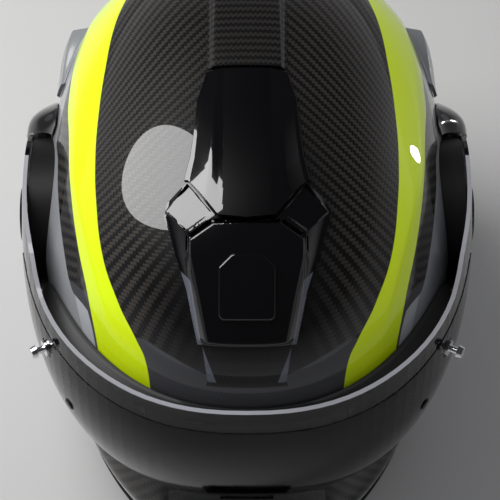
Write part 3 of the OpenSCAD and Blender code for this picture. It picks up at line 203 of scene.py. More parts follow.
class ShellForm:
    """The shell's surface as functions of angle, height and pitch round the visor's axis"""

    def __init__(self, sizes):
        self.s = sizes

    def dome(self, z, size, level, power, inset):
        t = np.clip((z - level) / (self.s.crown_z - inset - level), 0, 1)
        return (size - inset) * np.maximum(0, 1 - t ** power) ** (1 / power)

    def tuck(self, z):
        share = np.clip((self.s.widest_z - z) / TUCK_REACH, 0, 1)
        return (1 - share ** TUCK_POWER) ** (1 / TUCK_POWER)

    def half(self, z, inset):
        wide = self.dome(z, self.s.half_width, self.s.widest_z, SIDE_POWER, inset)
        return np.maximum(0.01, wide * self.tuck(z))

    def ahead(self, z, inset):
        reach = self.dome(z, self.s.front_reach, FRONT_LEVEL, FRONT_POWER, inset)
        chin = (self.s.chin_reach - self.s.front_reach) * ease((FRONT_LEVEL - z) / CHIN_RUN)
        return np.maximum(0.01, reach * self.tuck(z) + chin)

    def behind(self, z, inset):
        reach = self.dome(z, self.s.back_reach, BACK_LEVEL, BACK_POWER, inset)
        nape = (self.s.back_reach - self.s.nape_reach) * ease((BACK_LEVEL - z) / BACK_LEVEL)
        return np.maximum(0.01, reach - nape)

    def reach(self, z, inset, back):
        return np.where(back, self.behind(z, inset), self.ahead(z, inset))

    def corner(self, z, back):
        return np.where(back, 2.2 + 0.4 * ease((z - 60) / 120), 2 + 0.22 * ease((z - 90) / 80))

    def rim(self, a):
        return self.s.rim_z + self.s.rim_arch * ease((np.abs(sind(a)) - 0.55) / 0.4)

    def visor_share(self, p):
        depth = np.hypot(p[..., 1] - HINGE_Y, p[..., 2] - HINGE_Z)
        return ((np.abs(p[..., 0]) / self.s.visor_half) ** VISOR_POWER
                + (depth / self.s.visor_reach) ** VISOR_POWER) ** (1 / VISOR_POWER)

    def drawn_in(self, p, inset):
        ledge_low = HINGE_Z - 1.14 * (HINGE_Z - self.s.visor_low + 3) - LEDGE_RUN
        limit = 1 - (LEDGE_GAP + inset) / self.s.visor_reach
        share = np.maximum(self.visor_share(p), 1e-6)
        pull = np.where(p[..., 1] < HINGE_Y, ease((p[..., 2] - ledge_low) / LEDGE_RUN), 0)
        scale = np.where(share > limit, 1 - pull * (1 - limit / share), 1)
        return CENTRE + (p - CENTRE) * scale[..., None]

    def wall(self, a, z, inset):
        back = cosd(a) < 0
        m = self.corner(z, back)
        x = self.half(z, inset) * bend(sind(a), 2 / m)
        y = HINGE_Y - self.reach(z, inset, back) * bend(cosd(a), 2 / m)
        return self.drawn_in(stacked(x, y, z), inset)

    def side(self, y, z):
        back = y > HINGE_Y
        m = self.corner(z, back)
        share = np.minimum(0.98, np.abs(y - HINGE_Y) / self.reach(z, 0, back))
        return self.half(z, 0) * (1 - share ** m) ** (1 / m)

    def beyond(self, x, y, z, inset):
        back = y > HINGE_Y
        m = self.corner(z, back)
        low = np.minimum(z, self.s.crown_z - inset - 0.01)
        value = ((np.abs(x) / self.half(low, inset)) ** m
                 + (np.abs(y - HINGE_Y) / self.reach(low, inset, back)) ** m - 1)
        return np.where(z >= self.s.crown_z - inset, 1, value)

    def skin(self, x, pitch, rise):
        """The point over x at a pitch round the visor's axis, at a height over the shell"""
        x, pitch, rise = np.broadcast_arrays(np.asarray(x, float), pitch, rise)
        low = np.full(x.shape, 40.0)
        high = np.full(x.shape, 200.0)
        for _ in range(26):
            mid = (low + high) / 2
            out = self.beyond(x, HINGE_Y - mid * cosd(pitch), HINGE_Z + mid * sind(pitch), -rise) > 0
            high = np.where(out, mid, high)
            low = np.where(out, low, mid)
        return stacked(x, HINGE_Y - low * cosd(pitch), HINGE_Z + low * sind(pitch))

    def crown_height(self, w, inset):
        return self.s.widest_z + (self.s.crown_z - inset - self.s.widest_z) * sind(90 * w) ** (2 / SIDE_POWER)

    def up_to_crown(self, a, v, low, part, inset):
        """A wall from a low level to the crown; this part of the way is below the widest level"""
        w = np.clip((v - part) / (1 - part), 0, 0.9999)
        z = np.where(v < part, mix(low, self.s.widest_z, v / part), self.crown_height(w, inset))
        return self.wall(a, z, inset)

    def port(self, s, t, grow, inset):
        rise = (1 - np.abs(s) ** PORT_POWER) ** (1 / PORT_POWER)
        return self.wall(s * (PORT_ANGLE + PORT_LEAN * t + grow * 0.5),
                         self.s.port_z + (self.s.port_half + grow) * rise * t, inset)

    def brow_frame(self):
        """The slider's seat: its place, the direction of its travel, its normal and its slope"""
        ends = self.skin(0, [SLIDER_PITCH - SLIDER_HALF, SLIDER_PITCH + SLIDER_HALF], 0)
        slope = math.degrees(math.atan2(ends[1, 2] - ends[0, 2], ends[1, 1] - ends[0, 1]))
        along = np.array([0, cosd(slope), sind(slope)])
        return self.skin(0, SLIDER_PITCH, 0), along, np.array([0, -along[2], along[1]]), slope

    def over_brow(self, x, along, lift):
        """The place over x at a distance along the slider's travel, at a height over the shell"""
        seat, travel, _, _ = self.brow_frame()
        pitch = SLIDER_PITCH + along / MM_PER_DEGREE
        for _ in range(5):
            gone = (self.skin(x, pitch, lift) - seat) @ travel
            pitch = pitch + (along - gone) / MM_PER_DEGREE
        return self.skin(x, pitch, lift)

    def chin_foam(self, share):
        """Inset of the chin foam's inner face at a share of the height from the rim to the widest level"""
        return self.s.shell_wall + 17 + 4 * ease(1.35 - 2.8 * share)

    def chin_front(self, x, z, rise):
        m = self.corner(z, False)
        return HINGE_Y - self.ahead(z, -rise) * (1 - (np.abs(x) / self.half(z, -rise)) ** m) ** (1 / m)


def run_along(line):
    """How far along a line each of its points lies"""
    return np.concatenate([[0], np.cumsum(np.linalg.norm(np.diff(line, axis=0), axis=1))])


def rounded_outline(corners, radius):
    """Places along a rounded outline by the share of the way round; its corners go anticlockwise"""
    corners = np.array(corners, float)
    line = []
    for k, corner in enumerate(corners):
        into = corner - corners[k - 1]
        out = corners[(k + 1) % len(corners)] - corner
        first = math.atan2(-into[0], into[1])
        turn = (math.atan2(-out[0], out[1]) - first) % (2 * math.pi)
        normals = [np.array([math.cos(first + turn * share), math.sin(first + turn * share)])
                   for share in np.linspace(0, 1, 9)]
        middle = corner - (normals[0] + normals[-1]) / (1 + normals[0] @ normals[-1]) * radius
        line += [middle + radius * normal for normal in normals]
    line = np.array(line + line[:1])
    far = run_along(line)
    return lambda share: [np.interp(share * far[-1], far, line[:, k]) for k in (0, 1)]


def smooth_path(points, count):
    """A smooth curve through given points, sampled evenly along its length"""
    points = np.array(points, float)
    ends = np.vstack([2 * points[0] - points[1], points, 2 * points[-1] - points[-2]])
    line = []
    for a, b, c, d in zip(ends, ends[1:], ends[2:], ends[3:]):
        t = np.linspace(0, 1, 24, endpoint=False)[:, None]
        line.append(0.5 * (2 * b + (c - a) * t + (2 * a - 5 * b + 4 * c - d) * t ** 2
                           + (3 * b - a - 3 * c + d) * t ** 3))
    line = np.vstack(line + [points[-1:]])
    far = run_along(line)
    even = np.linspace(0, far[-1], count)
    return np.stack([np.interp(even, far, line[:, k]) for k in range(points.shape[1])], axis=1)


# Rises of the visor's upper edge from the front to its arms: size, start from the axis, and run
VISOR_RISES = ((-2.5, -140, 45), (9.5, -88, 34), (-4.2, -50, 42))
# The line of the crease along each band: pitch, and distance from the middle
CREASE = ([20, 34, 44, 55, 73, 93, 135, 150, 175], [70, 77, 83, 89, 95, 96, 96, 92, 80])


def creased(p):
    """The soft crease that runs along each band of paint"""
    pitch = np.degrees(np.arctan2(p[..., 2] - HINGE_Z, HINGE_Y - p[..., 1]))
    away = np.abs(np.abs(p[..., 0]) - np.interp(pitch, *CREASE))
    lift = 1.5 * np.maximum(0, 1 - away / 17) ** 2 * ease((pitch - 18) / 14) * ease((175 - pitch) / 30)
    out = (p - CENTRE) / np.linalg.norm(p - CENTRE, axis=-1)[..., None]
    return p + out * lift[..., None]


# Mesh tools

def deselect():
    bpy.ops.object.select_all(action="DESELECT")


def only(obj):
    deselect()
    obj.hide_set(False)
    obj.select_set(True)
    bpy.context.view_layer.objects.active = obj


def read(mesh, layer="co"):
    values = np.zeros(len(mesh.vertices) * 3, np.float64)
    mesh.vertices.foreach_get(layer, values)
    return values.reshape(-1, 3)


def write(mesh, points):
    mesh.vertices.foreach_set("co", (np.asarray(points) * MM).astype(np.float32).ravel())
    mesh.update()


def edit(obj, *steps):
    """Runs edit-mode operators on all of a piece; each step is an operator and its settings"""
    only(obj)
    bpy.ops.object.mode_set(mode="EDIT")
    bpy.ops.mesh.select_all(action="SELECT")
    for operator, settings in steps:
        operator(**settings)
    bpy.ops.object.mode_set(mode="OBJECT")


def named(name):
    """The object just made and its mesh, under a name"""
    obj = bpy.context.active_object
    obj.name = obj.data.name = name
    return obj


def outward(obj):
    edit(obj, (bpy.ops.mesh.normals_make_consistent, {"inside": False}))
    return obj


def finished(obj, finish, smooth=35, replaces=(), body="helmet"):
    """Gives a piece its smooth faces, finish and body, and the nodes that it stands for"""
    only(obj)
    bpy.ops.object.shade_smooth_by_angle(angle=math.radians(smooth))
    obj.data.materials.clear()
    obj.data.materials.append(finish_of(finish))
    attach(obj, body)
    if replaces:
        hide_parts(*replaces)
    return obj


def second_finish(obj, other, chosen):
    """Gives faces another finish, picked by their centres in millimetres and their normals"""
    mesh = obj.data
    mesh.materials.append(finish_of(other))
    centres, normals = np.zeros((2, len(mesh.polygons) * 3))
    mesh.polygons.foreach_get("center", centres)
    mesh.polygons.foreach_get("normal", normals)
    picked = chosen(centres.reshape(-1, 3) / MM, normals.reshape(-1, 3))
    mesh.polygons.foreach_set("material_index", picked.astype(np.int32))
    mesh.update()


def modifier(obj, kind, **settings):
    only(obj)
    made = obj.modifiers.new(kind.lower(), kind)
    for key, value in settings.items():
        setattr(made, key, value)
    bpy.ops.object.modifier_apply(modifier=made.name)


def rounded(obj, width, segments, angle):
    """Rounds the edges that turn by more than an angle"""
    modifier(obj, "BEVEL", width=width * MM, segments=segments, limit_method="ANGLE",
             angle_limit=math.radians(angle))


def sheet_grid(name, columns, rows):
    """A grid whose points know how far across and along they lie"""
    deselect()
    bpy.ops.mesh.primitive_grid_add(x_subdivisions=columns, y_subdivisions=rows, size=1, location=(0, 0, 0))
    obj = named(name)
    co = read(obj.data)
    for label, values in (("across", co[:, 0] + 0.5), ("along", co[:, 1] + 0.5)):
        layer = obj.data.attributes.new(label, "FLOAT", "POINT")
        layer.data.foreach_set("value", values.astype(np.float32))
    return obj


def attribute(mesh, label):
    values = np.zeros(len(mesh.vertices), np.float32)
    mesh.attributes[label].data.foreach_get("value", values)
    return np.round(values.astype(float), 6)


def select_faces(obj, chosen):
    mesh = obj.data
    mesh.vertices.foreach_set("select", np.zeros(len(mesh.vertices), bool))
    mesh.edges.foreach_set("select", np.zeros(len(mesh.edges), bool))
    mesh.polygons.foreach_set("select", np.asarray(chosen, bool))
    mesh.update()


def delete_faces(obj, chosen):
    select_faces(obj, chosen)
    only(obj)
    bpy.ops.object.mode_set(mode="EDIT")
    bpy.ops.mesh.select_mode(type="FACE")
    bpy.ops.object.mode_set(mode="OBJECT")
    select_faces(obj, chosen)
    bpy.ops.object.mode_set(mode="EDIT")
    bpy.ops.mesh.delete(type="FACE")
    bpy.ops.mesh.select_mode(type="VERT")
    bpy.ops.object.mode_set(mode="OBJECT")


def slab(name, columns, rows, surface, sides=(False, True), wrap=False, crown=False):
    """A closed slab: a grid, extruded, and shaped by a surface of the place across, along and the side"""
    obj = sheet_grid(name, columns, rows)
    edit(obj, (bpy.ops.mesh.extrude_region, {}))
    mesh = obj.data
    u, v = attribute(mesh, "across"), attribute(mesh, "along")
    inside = np.zeros(len(mesh.vertices), bool)
    mesh.vertices.foreach_get("select", inside)
    outer, inner = (surface(u, v, side) for side in sides)
    points = np.where(inside[:, None], inner, outer)
    if crown:
        for pole in ((v == 1) & inside, (v == 1) & ~inside):
            points[pole] = points[pole].mean(axis=0)
    write(mesh, points)
    if wrap or crown:
        rings = [list(face.vertices) for face in mesh.polygons]
        delete_faces(obj, [wrap and (all(u[ring] == 0) or all(u[ring] == 1)) or crown and all(v[ring] == 1)
                           for ring in rings])
    edit(obj, (bpy.ops.mesh.remove_doubles, {"threshold": 0.00001}))
    return outward(obj)


def port_cutter(f, name, rows, low, grow, *insets):
    """A block through the eye opening, up from a level below its middle and between two insets"""
    return slab(name, 64, rows, lambda u, v, inset: f.port(
        PORT_END * sind(180 * u - 90), mix(low, 1, v), grow, inset), insets)


def ring_bar(name, around, section):
    """A bar that closes on itself: a torus whose rings take the bar's sections"""
    deselect()
    count = section(np.zeros(1)).shape[1]
    bpy.ops.mesh.primitive_torus_add(major_segments=around, minor_segments=count, location=(0, 0, 0))
    obj = named(name)
    write(obj.data, section(np.arange(around) / around).reshape(-1, 3))
    return outward(obj)


def joined(name, objects):
    deselect()
    for obj in objects:
        obj.select_set(True)
    bpy.context.view_layer.objects.active = objects[0]
    bpy.ops.object.join()
    return named(name)


def copied(obj, name):
    """A copy of a piece with its own mesh"""
    copy = obj.copy()
    copy.data = obj.data.copy()
    copy.name = copy.data.name = name
    bpy.context.scene.collection.objects.link(copy)
    return copy


def flipped(obj):
    """A piece turned into its other side's"""
    write(obj.data, read(obj.data) / MM * [-1, 1, 1])
    obj.data.flip_normals()
    return obj


def both_sides(left, name, finish, nodes, smooth=35):
    """Finishes a left piece and the right one made from it"""
    pair = left, flipped(copied(left, name))
    for piece, node in zip(pair, nodes):
        finished(piece, finish, smooth, [node])
    return pair


def cut(obj, cutters):
    for cutter in cutters:
        modifier(obj, "BOOLEAN", operation="DIFFERENCE", solver="EXACT", object=cutter)
    for cutter in cutters:
        bpy.data.objects.remove(cutter)


def block(name, wide, long, high, place, turn=0, corner=0.3):
    """A block with rounded corners, turned about X and put in place, for cutting"""
    deselect()
    bpy.ops.mesh.primitive_cube_add(size=1, location=(0, 0, 0))
    obj = named(name)
    write(obj.data, read(obj.data) * [wide, long, high])
    upright = [i for i, e in enumerate(obj.data.edges)
               if abs(obj.data.vertices[e.vertices[0]].co.z - obj.data.vertices[e.vertices[1]].co.z) > 1e-6]
    obj.data.edges.foreach_set("select", np.isin(np.arange(len(obj.data.edges)), upright))
    bpy.ops.object.mode_set(mode="EDIT")
    bpy.ops.mesh.select_mode(type="EDGE")
    bpy.ops.mesh.bevel(offset=corner * MM, segments=6, affect="EDGES")
    bpy.ops.mesh.select_mode(type="VERT")
    bpy.ops.object.mode_set(mode="OBJECT")
    c, s = cosd(turn), sind(turn)
    co = read(obj.data) / MM
    write(obj.data, stacked(co[:, 0], co[:, 1] * c - co[:, 2] * s, co[:, 1] * s + co[:, 2] * c) + place)
    return obj


# Shader tools

class Value:
    """A number in a node tree; arithmetic on it adds math nodes"""

    def __init__(self, socket):
        self.socket = socket

    def math(self, operation, *others):
        return maths(self.socket.id_data, operation, self, *others)

    def __add__(self, other):
        return self.math("ADD", other)

    def __sub__(self, other):
        return self.math("SUBTRACT", other)

    def __rsub__(self, other):
        return maths(self.socket.id_data, "SUBTRACT", other, self)

    def __mul__(self, other):
        return self.math("MULTIPLY", other)

    def __truediv__(self, other):
        return self.math("DIVIDE", other)

    def ramp(self, low, high, to_low=0.0, to_high=1.0, **settings):
        """The value carried from one range to another, and held at its ends"""
        return Value(new_node(self.socket.id_data, "ShaderNodeMapRange", {
            "Value": self, "From Min": low, "From Max": high, "To Min": to_low, "To Max": to_high},
            **settings).outputs[0])

    def over(self, level, soft=0.2):
        """A mask of where the value is past a level"""
        return (self - level).ramp(-soft, soft)

    def curve(self, points, x_top, y_top):
        """A curve through given points, with its input and output scaled to 1"""
        made = new_node(self.socket.id_data, "ShaderNodeFloatCurve", {"Value": self / x_top})
        line = made.mapping.curves[0]
        for index, (x, y) in enumerate(points):
            place = (x / x_top, y / y_top)
            if index < 2:
                line.points[index].location = place
            else:
                line.points.new(*place)
        made.mapping.update()
        return Value(made.outputs[0]) * y_top


def feed(socket, value):
    """Links a value to a socket, or sets it there when it is constant"""
    value = getattr(value, "socket", value)
    if isinstance(value, bpy.types.NodeSocket):
        socket.id_data.links.new(value, socket)
    else:
        socket.default_value = value


def new_node(tree, kind, inputs=None, **settings):
    made = tree.nodes.new(kind)
    for key, value in settings.items():
        setattr(made, key, value)
    for key, value in (inputs or {}).items():
        feed(made.inputs[key], value)
    return made


def maths(tree, operation, *values):
    return Value(new_node(tree, "ShaderNodeMath", dict(enumerate(values)), operation=operation).outputs[0])


def choose(share, first, second):
    """The first value where the share is 0 and the second where it is 1"""
    return Value(new_node(share.socket.id_data, "ShaderNodeMix", {0: share, 2: first, 3: second},
                          data_type="FLOAT").outputs[0])


def colour_mix(share, first, second):
    """The first colour where the share is 0 and the second where it is 1"""
    made = new_node(share.socket.id_data, "ShaderNodeMix", {0: share}, data_type="RGBA")
    for key, value in ((6, first), (7, second)):
        feed(made.inputs[key], value if isinstance(value, bpy.types.NodeSocket) else (*value, 1))
    return made.outputs[2]


def tinted(base, factor):
    return [min(1, value * factor) for value in base]


def object_place(tree):
    return new_node(tree, "ShaderNodeTexCoord").outputs["Object"]


def noise(tree, place, scale, detail=3.0):
    return Value(new_node(tree, "ShaderNodeTexNoise", {"Vector": place, "Scale": scale, "Detail": detail,
                                                       "Roughness": 0.5}).outputs[0])


def shader(name, **inputs):
    material = bpy.data.materials.new(name)
    material.use_nodes = True
    body = material.node_tree.nodes["Principled BSDF"]
    for key, value in inputs.items():
        body.inputs[key.replace("_", " ")].default_value = value
    return material, material.node_tree, body


def bump(body, height, distance, strength=1.0):
    feed(body.inputs["Normal"], new_node(body.id_data, "ShaderNodeBump", {
        "Height": height, "Distance": distance, "Strength": strength}).outputs[0])


def group(name, inputs, outputs):
    """An empty node group, the values that go into it and the sockets that it puts out"""
    tree = bpy.data.node_groups.new(name, "ShaderNodeTree")
    for labels, way in ((inputs, "INPUT"), (outputs, "OUTPUT")):
        for label in labels:
            kind = "NodeSocketVector" if label == "Place" else "NodeSocketFloat"
            tree.interface.new_socket(name=label, in_out=way, socket_type=kind)
    given = tree.nodes.new("NodeGroupInput").outputs
    return tree, {label: Value(given[label]) for label in inputs}, tree.nodes.new("NodeGroupOutput").inputs


def twill_group():
    """Two-by-two twill: a mask of the tows that lie on top, and the height of the cloth"""
    tree, given, out = group("Twill", ("Across", "Along", "Tow"), ("Over", "Height"))
    u, v = given["Across"] / given["Tow"], given["Along"] / given["Tow"]
    over = (u.math("FLOOR") + v.math("FLOOR")).math("FLOORED_MODULO", 4.0).math("LESS_THAN", 1.5)
    feed(out["Over"], over)
    feed(out["Height"], choose(over, *((part.math("FRACT") * math.pi).math("SINE") for part in (u, v))))
    return tree


def grain_group():
    """Fine grain of a moulded or sprayed surface: its height and a slow drift of tone"""
    tree, given, out = group("Grain", ("Place", "Fine", "Slow"), ("Height", "Drift"))
    feed(out["Height"], noise(tree, given["Place"], given["Fine"], 4.0))
    feed(out["Drift"], noise(tree, given["Place"], given["Slow"], 2.0))
    return tree


def knit_group():
    """Interlocked knit loops: their height and a slow change of tone"""
    tree, given, out = group("Knit", ("Place", "Pitch"), ("Height", "Tone"))
    cells = new_node(tree, "ShaderNodeTexVoronoi", {
        "Vector": given["Place"], "Scale": maths(tree, "DIVIDE", 1.0, given["Pitch"]), "Randomness": 0.25})
    feed(out["Height"], Value(cells.outputs["Distance"]).ramp(0.0, 0.6, 1.0, 0.0))
    feed(out["Tone"], noise(tree, given["Place"], 60.0, 4.0))
    return tree


GROUPS = {}
MATERIALS = {}
GLOSS = {"Specular_IOR_Level": 0.1, "Coat_Weight": 1.0, "Coat_Roughness": 0.015, "Coat_IOR": 1.6}


def shared(tree, name, inputs):
    """The values that a shared effect puts out; its node group is made when first asked for"""
    if name not in GROUPS:
        GROUPS[name] = {"twill": twill_group, "grain": grain_group, "knit": knit_group}[name]()
    outputs = new_node(tree, "ShaderNodeGroup", inputs, node_tree=GROUPS[name]).outputs
    return {socket.name: Value(socket) for socket in outputs}


def from_axis(tree):
    """Place from the visor's axis, in millimetres"""
    place = new_node(tree, "ShaderNodeVectorMath", {0: object_place(tree), 1: tuple(CENTRE * MM)},
                     operation="SUBTRACT").outputs[0]
    return [Value(axis) / MM for axis in new_node(tree, "ShaderNodeSeparateXYZ", {0: place}).outputs]


def pitch_of(y, z):
    """Angle round the visor's axis from straight ahead, as it is and as 0 up to 300 degrees"""
    turn = z.math("ARCTAN2", y * -1.0).math("DEGREES")
    return turn, ((turn + 60.0).math("FLOORED_MODULO", 360.0) - 60.0).math("MAXIMUM", 0.0)


# Finishes

# Where the paint changes: pitch (degrees) from the face over the top, and distance from the middle (mm)
BAND_INNER = [(0, 50), (15, 51), (21, 53), (25, 57.5), (33, 68), (44, 76.7), (60, 80.7), (75, 82),
              (94, 81.6), (116, 79), (133, 75), (144, 67.7), (165, 52), (190, 34), (215, 30)]
BAND_OUTER = [(0, 79), (14, 79), (29, 84), (45, 91), (66, 96), (97, 99), (127, 101), (150, 97),
              (175, 80), (200, 58), (215, 50)]
CARBON_OUTER = [(0, 79), (26, 85), (28, 94), (40, 99.5), (63, 104), (93, 106), (118, 107.5), (137, 101),
                (150, 97), (175, 80), (200, 58), (215, 50)]
PATCH_OUTER = [(0, 88), (17, 88), (25, 91.5), (35, 94.5), (40, 95), (46, 95.5), (215, 95)]
# Top of the dark brow: distance from the middle (mm) and pitch (degrees)
BROW_TOP = [(0, 19.7), (22, 21.3), (43, 24.5), (55, 26), (75, 24), (80, 36), (94, 36), (125, 36)]
# Lines beside the brow, as a slope (mm a degree of pitch) and a distance from the middle at pitch 0 (mm)
BROW_SIDE, SLIVER_INNER, SLIVER_OUTER = (-0.62, 32.8), (0.94, -2.4), (0.34, 13.8)
PITCH_TOP, HALF_TOP, BROW_PITCH_TOP = 215, 125, 60
BROW_FOOT, SLIVER_FOOT, SLIVER_TOP = 18.5, 19.5, 27.6
BAND_FOOT, STRIP_FOOT = 9.0, 31.0
# The wedge on each side of the brow housing: distance from the middle (mm) and pitch (degrees)
HOUSING_WEDGE = [(22.9, 27.0), (29.0, 40.6), (38.0, 43.2), (38.0, 27.0)]
TOP_RADIUS, CHIN_RADIUS = 128.0, 150.0
SIDE_START, CHIN_LEVEL, STRIP_HALF = 90.0, -34.0, 21.5
DRAPE_START, DRAPE_SHEAR = 123.0, 0.005
HALF_ROOT = 0.7071
CLOTH_SHIFT = 400.0


def cloth_place(x, y, z, turn):
    """Place across and along the carbon cloth, in millimetres"""
    away = x.math("ABSOLUTE")
    # The cloth lies along arcs round the axis on top, and flat against the sides
    arc = turn.math("RADIANS") * TOP_RADIUS
    spread = away.math("ARCTAN2", (y * y + z * z).math("SQRT")) * TOP_RADIUS
    on_side = away.over(SIDE_START, 1.0)
    # Draped down over the brow, the cloth shears and its twill lines stand steeper
    drawn = (DRAPE_START - arc).math("MAXIMUM", 0.0)
    across = choose(on_side, spread, z) + drawn * drawn * DRAPE_SHEAR * (1.0 - on_side)
    along = choose(on_side, arc, y)
    low = z.math("LESS_THAN", CHIN_LEVEL)
    across = choose(low, across, away.math("ARCTAN2", y * -1.0) * CHIN_RADIUS)
    along = choose(low, along, z)
    # A centre strip is laid at 45 degrees to the rest
    middle = away.math("LESS_THAN", STRIP_HALF) * (1.0 - low)
    across = choose(middle, across, (arc + x) * HALF_ROOT)
    return across, choose(middle, along, (arc - x) * HALF_ROOT) + CLOTH_SHIFT


def painted_carbon(colours, finish):
    """Lacquered carbon cloth, with the bands, panels and brow painted over it"""
    material, tree, body = shader("carbon_and_paint", Roughness=0.42, Coat_Weight=1.0,
                                  Coat_Roughness=0.015, Specular_IOR_Level=0.12)
    x, y, z = from_axis(tree)
    away = x.math("ABSOLUTE")
    turn, pitch = pitch_of(y, z)
    inner, outer, strip, patch = (away.over(pitch.curve(points, PITCH_TOP, HALF_TOP)) for points in
                                  (BAND_INNER, BAND_OUTER, CARBON_OUTER, PATCH_OUTER))
    across, along = cloth_place(x, y, z, turn)
    cloth = shared(tree, "twill", {"Across": across, "Along": along, "Tow": finish.tow / MM})
    spot = new_node(tree, "ShaderNodeCombineXYZ", {0: across, 1: along, 2: x.math("SIGN")}).outputs[0]
    # Painted shade darkens each tow towards its edges, where it rounds over, and a noise drifts its tone at
    # random
    painted_lit = (cloth["Height"] * 0.6 + 0.4) * noise(tree, spot, 0.9, 2.0).ramp(0.3, 0.7, 0.75, 1.15)
    # Next to the intake, the tows' painted sheen is taken away towards the middle: painted shade by place
    # across the top
    centre_painted_shade = choose(pitch.ramp(52.0, 96.0), away.ramp(33.0, 60.0, 0.08), away.ramp(12.0, 62.0, 0.4))
    # Tows on top take the painted sheen colour and the rest the painted shade colour
    carbon = colour_mix(cloth["Over"] * painted_lit * centre_painted_shade, colours.tow_dark, colours.tow_light)
    past_side, past_inner, past_outer = (away.over(pitch * slope + start) for slope, start in
                                         (BROW_SIDE, SLIVER_INNER, SLIVER_OUTER))
    brow_side = (1.0 - pitch.over(away.curve(BROW_TOP, HALF_TOP, BROW_PITCH_TOP))) * past_side
    sliver = (1.0 - pitch.over(SLIVER_TOP)) * past_inner * (1.0 - past_outer) * pitch.over(SLIVER_FOOT)
    # Below the eye opening the band stops and the chin bar is bare carbon
    brow_up = pitch.over(BAND_FOOT)
    paint = carbon
    for mask, coat in (
            (brow_side.math("MAXIMUM", 1.0 - pitch.over(BROW_FOOT)), colours.brow),
            (sliver, colours.sliver), (1.0 - brow_up, carbon), (inner * brow_up, colours.band),
            (outer * brow_up, colour_mix(pitch.over(STRIP_FOOT, 0.3), colours.brow, carbon)),
            (strip * brow_up, colour_mix(patch, colours.patch, colours.panel))):
        paint = colour_mix(mask, paint, coat)
    feed(body.inputs["Base Color"], paint)
    bump(body, (1.0 - inner.math("MAXIMUM", brow_side)) * cloth["Height"], 0.00012, 0.6)
    return material


def plain(name, base, roughness, fine, slow, depth, drift=0.2, **inputs):
    """A moulded or sprayed finish of one colour, with its grain and its drift of tone"""
    material, tree, body = shader(name, Roughness=roughness, **inputs)
    made = shared(tree, "grain", {"Place": object_place(tree), "Fine": fine, "Slow": slow})
    feed(body.inputs["Base Color"],
         colour_mix(made["Drift"], tinted(base, 1 - drift), tinted(base, 1 + drift)))
    bump(body, made["Height"], depth)
    return material


def housing_gloss(colours):
    """Gloss black, with a blue-grey wedge on each side of the brow housing"""
    material = plain("housing_gloss", colours.gloss, 0.16, 700.0, 9.0, 0.00001, **GLOSS)
    tree = material.node_tree
    x, y, z = from_axis(tree)
    away, pitch = x.math("ABSOLUTE"), pitch_of(y, z)[1]
    mask = None
    for (x0, y0), (x1, y1) in zip(HOUSING_WEDGE, HOUSING_WEDGE[1:] + HOUSING_WEDGE[:1]):
        long = math.hypot(x1 - x0, y1 - y0)
        right = ((away - x0) * ((y1 - y0) / long) - (pitch - y0) * ((x1 - x0) / long)).ramp(-0.15, 0.15)
        mask = mask * right if mask else right
    base = tree.nodes["Principled BSDF"].inputs["Base Color"]
    feed(base, colour_mix(mask, base.links[0].from_socket, colours.sliver))
    return material


def bead_foam(colours, finish):
    """Foam of fused beads, darker in the joints between them"""
    material, tree, body = shader("bead_foam", Roughness=0.62)
    beads = {"Vector": object_place(tree), "Scale": 1 / finish.bead}
    cells = new_node(tree, "ShaderNodeTexVoronoi", beads, feature="F1")
    rim = new_node(tree, "ShaderNodeTexVoronoi", beads, feature="DISTANCE_TO_EDGE")
    share = Value(rim.outputs["Distance"]).ramp(0.0, 0.12)
    tone = colour_mix(Value(cells.outputs["Color"]).ramp(0.0, 1.0), tinted(colours.foam, 0.8),
                      tinted(colours.foam, 1.25))
    feed(body.inputs["Base Color"], colour_mix(share, tinted(colours.foam, 0.45), tone))
    bump(body, share, 0.0003, 0.8)
    return material


def knit_cloth(base, finish):
    """Knit cover of the comfort pads"""
    material, tree, body = shader("knit_cloth", Roughness=0.85, Sheen_Weight=0.35, Sheen_Roughness=0.4)
    knit = shared(tree, "knit", {"Place": object_place(tree), "Pitch": finish.knit})
    tone = colour_mix(knit["Tone"], tinted(base, 0.7), tinted(base, 1.3))
    # Darker where the knit lies low between its loops: painted shade
    feed(body.inputs["Base Color"], colour_mix(knit["Height"], tinted(base, 0.35), tone))
    bump(body, knit["Height"], 0.00035, 0.8)
    return material


def woven_strap(base):
    """Ribbed weave of the chin strap"""
    rib_pitch, row_pitch = 0.0016, 0.0011
    material, tree, body = shader("woven_strap", Roughness=0.7, Sheen_Weight=0.25)
    x, y, z = map(Value, new_node(tree, "ShaderNodeSeparateXYZ", {0: object_place(tree)}).outputs)
    ribs = (y * (2 * math.pi / rib_pitch)).math("SINE")
    height = (ribs + ((x + z) * (2 * math.pi / row_pitch)).math("SINE")) * 0.5
    # Lighter on the crests of the ribs and darker in the troughs: painted light and shade
    feed(body.inputs["Base Color"], colour_mix(height.ramp(-1.0, 1.0), tinted(base, 0.5), tinted(base, 1.5)))
    bump(body, height, 0.0003, 0.7)
    return material


def clear_sheet(name, tint, roughness, ior):
    """A clear moulded sheet or film, a little unevenly rough"""
    material, tree, body = shader(name, Roughness=roughness, IOR=ior, Transmission_Weight=1.0)
    body.inputs["Base Color"].default_value = (*tint, 1)
    scuff = noise(tree, object_place(tree), 110.0, 2.0)
    feed(body.inputs["Roughness"], scuff.ramp(0.4, 0.8, roughness, roughness + 0.03))
    return material


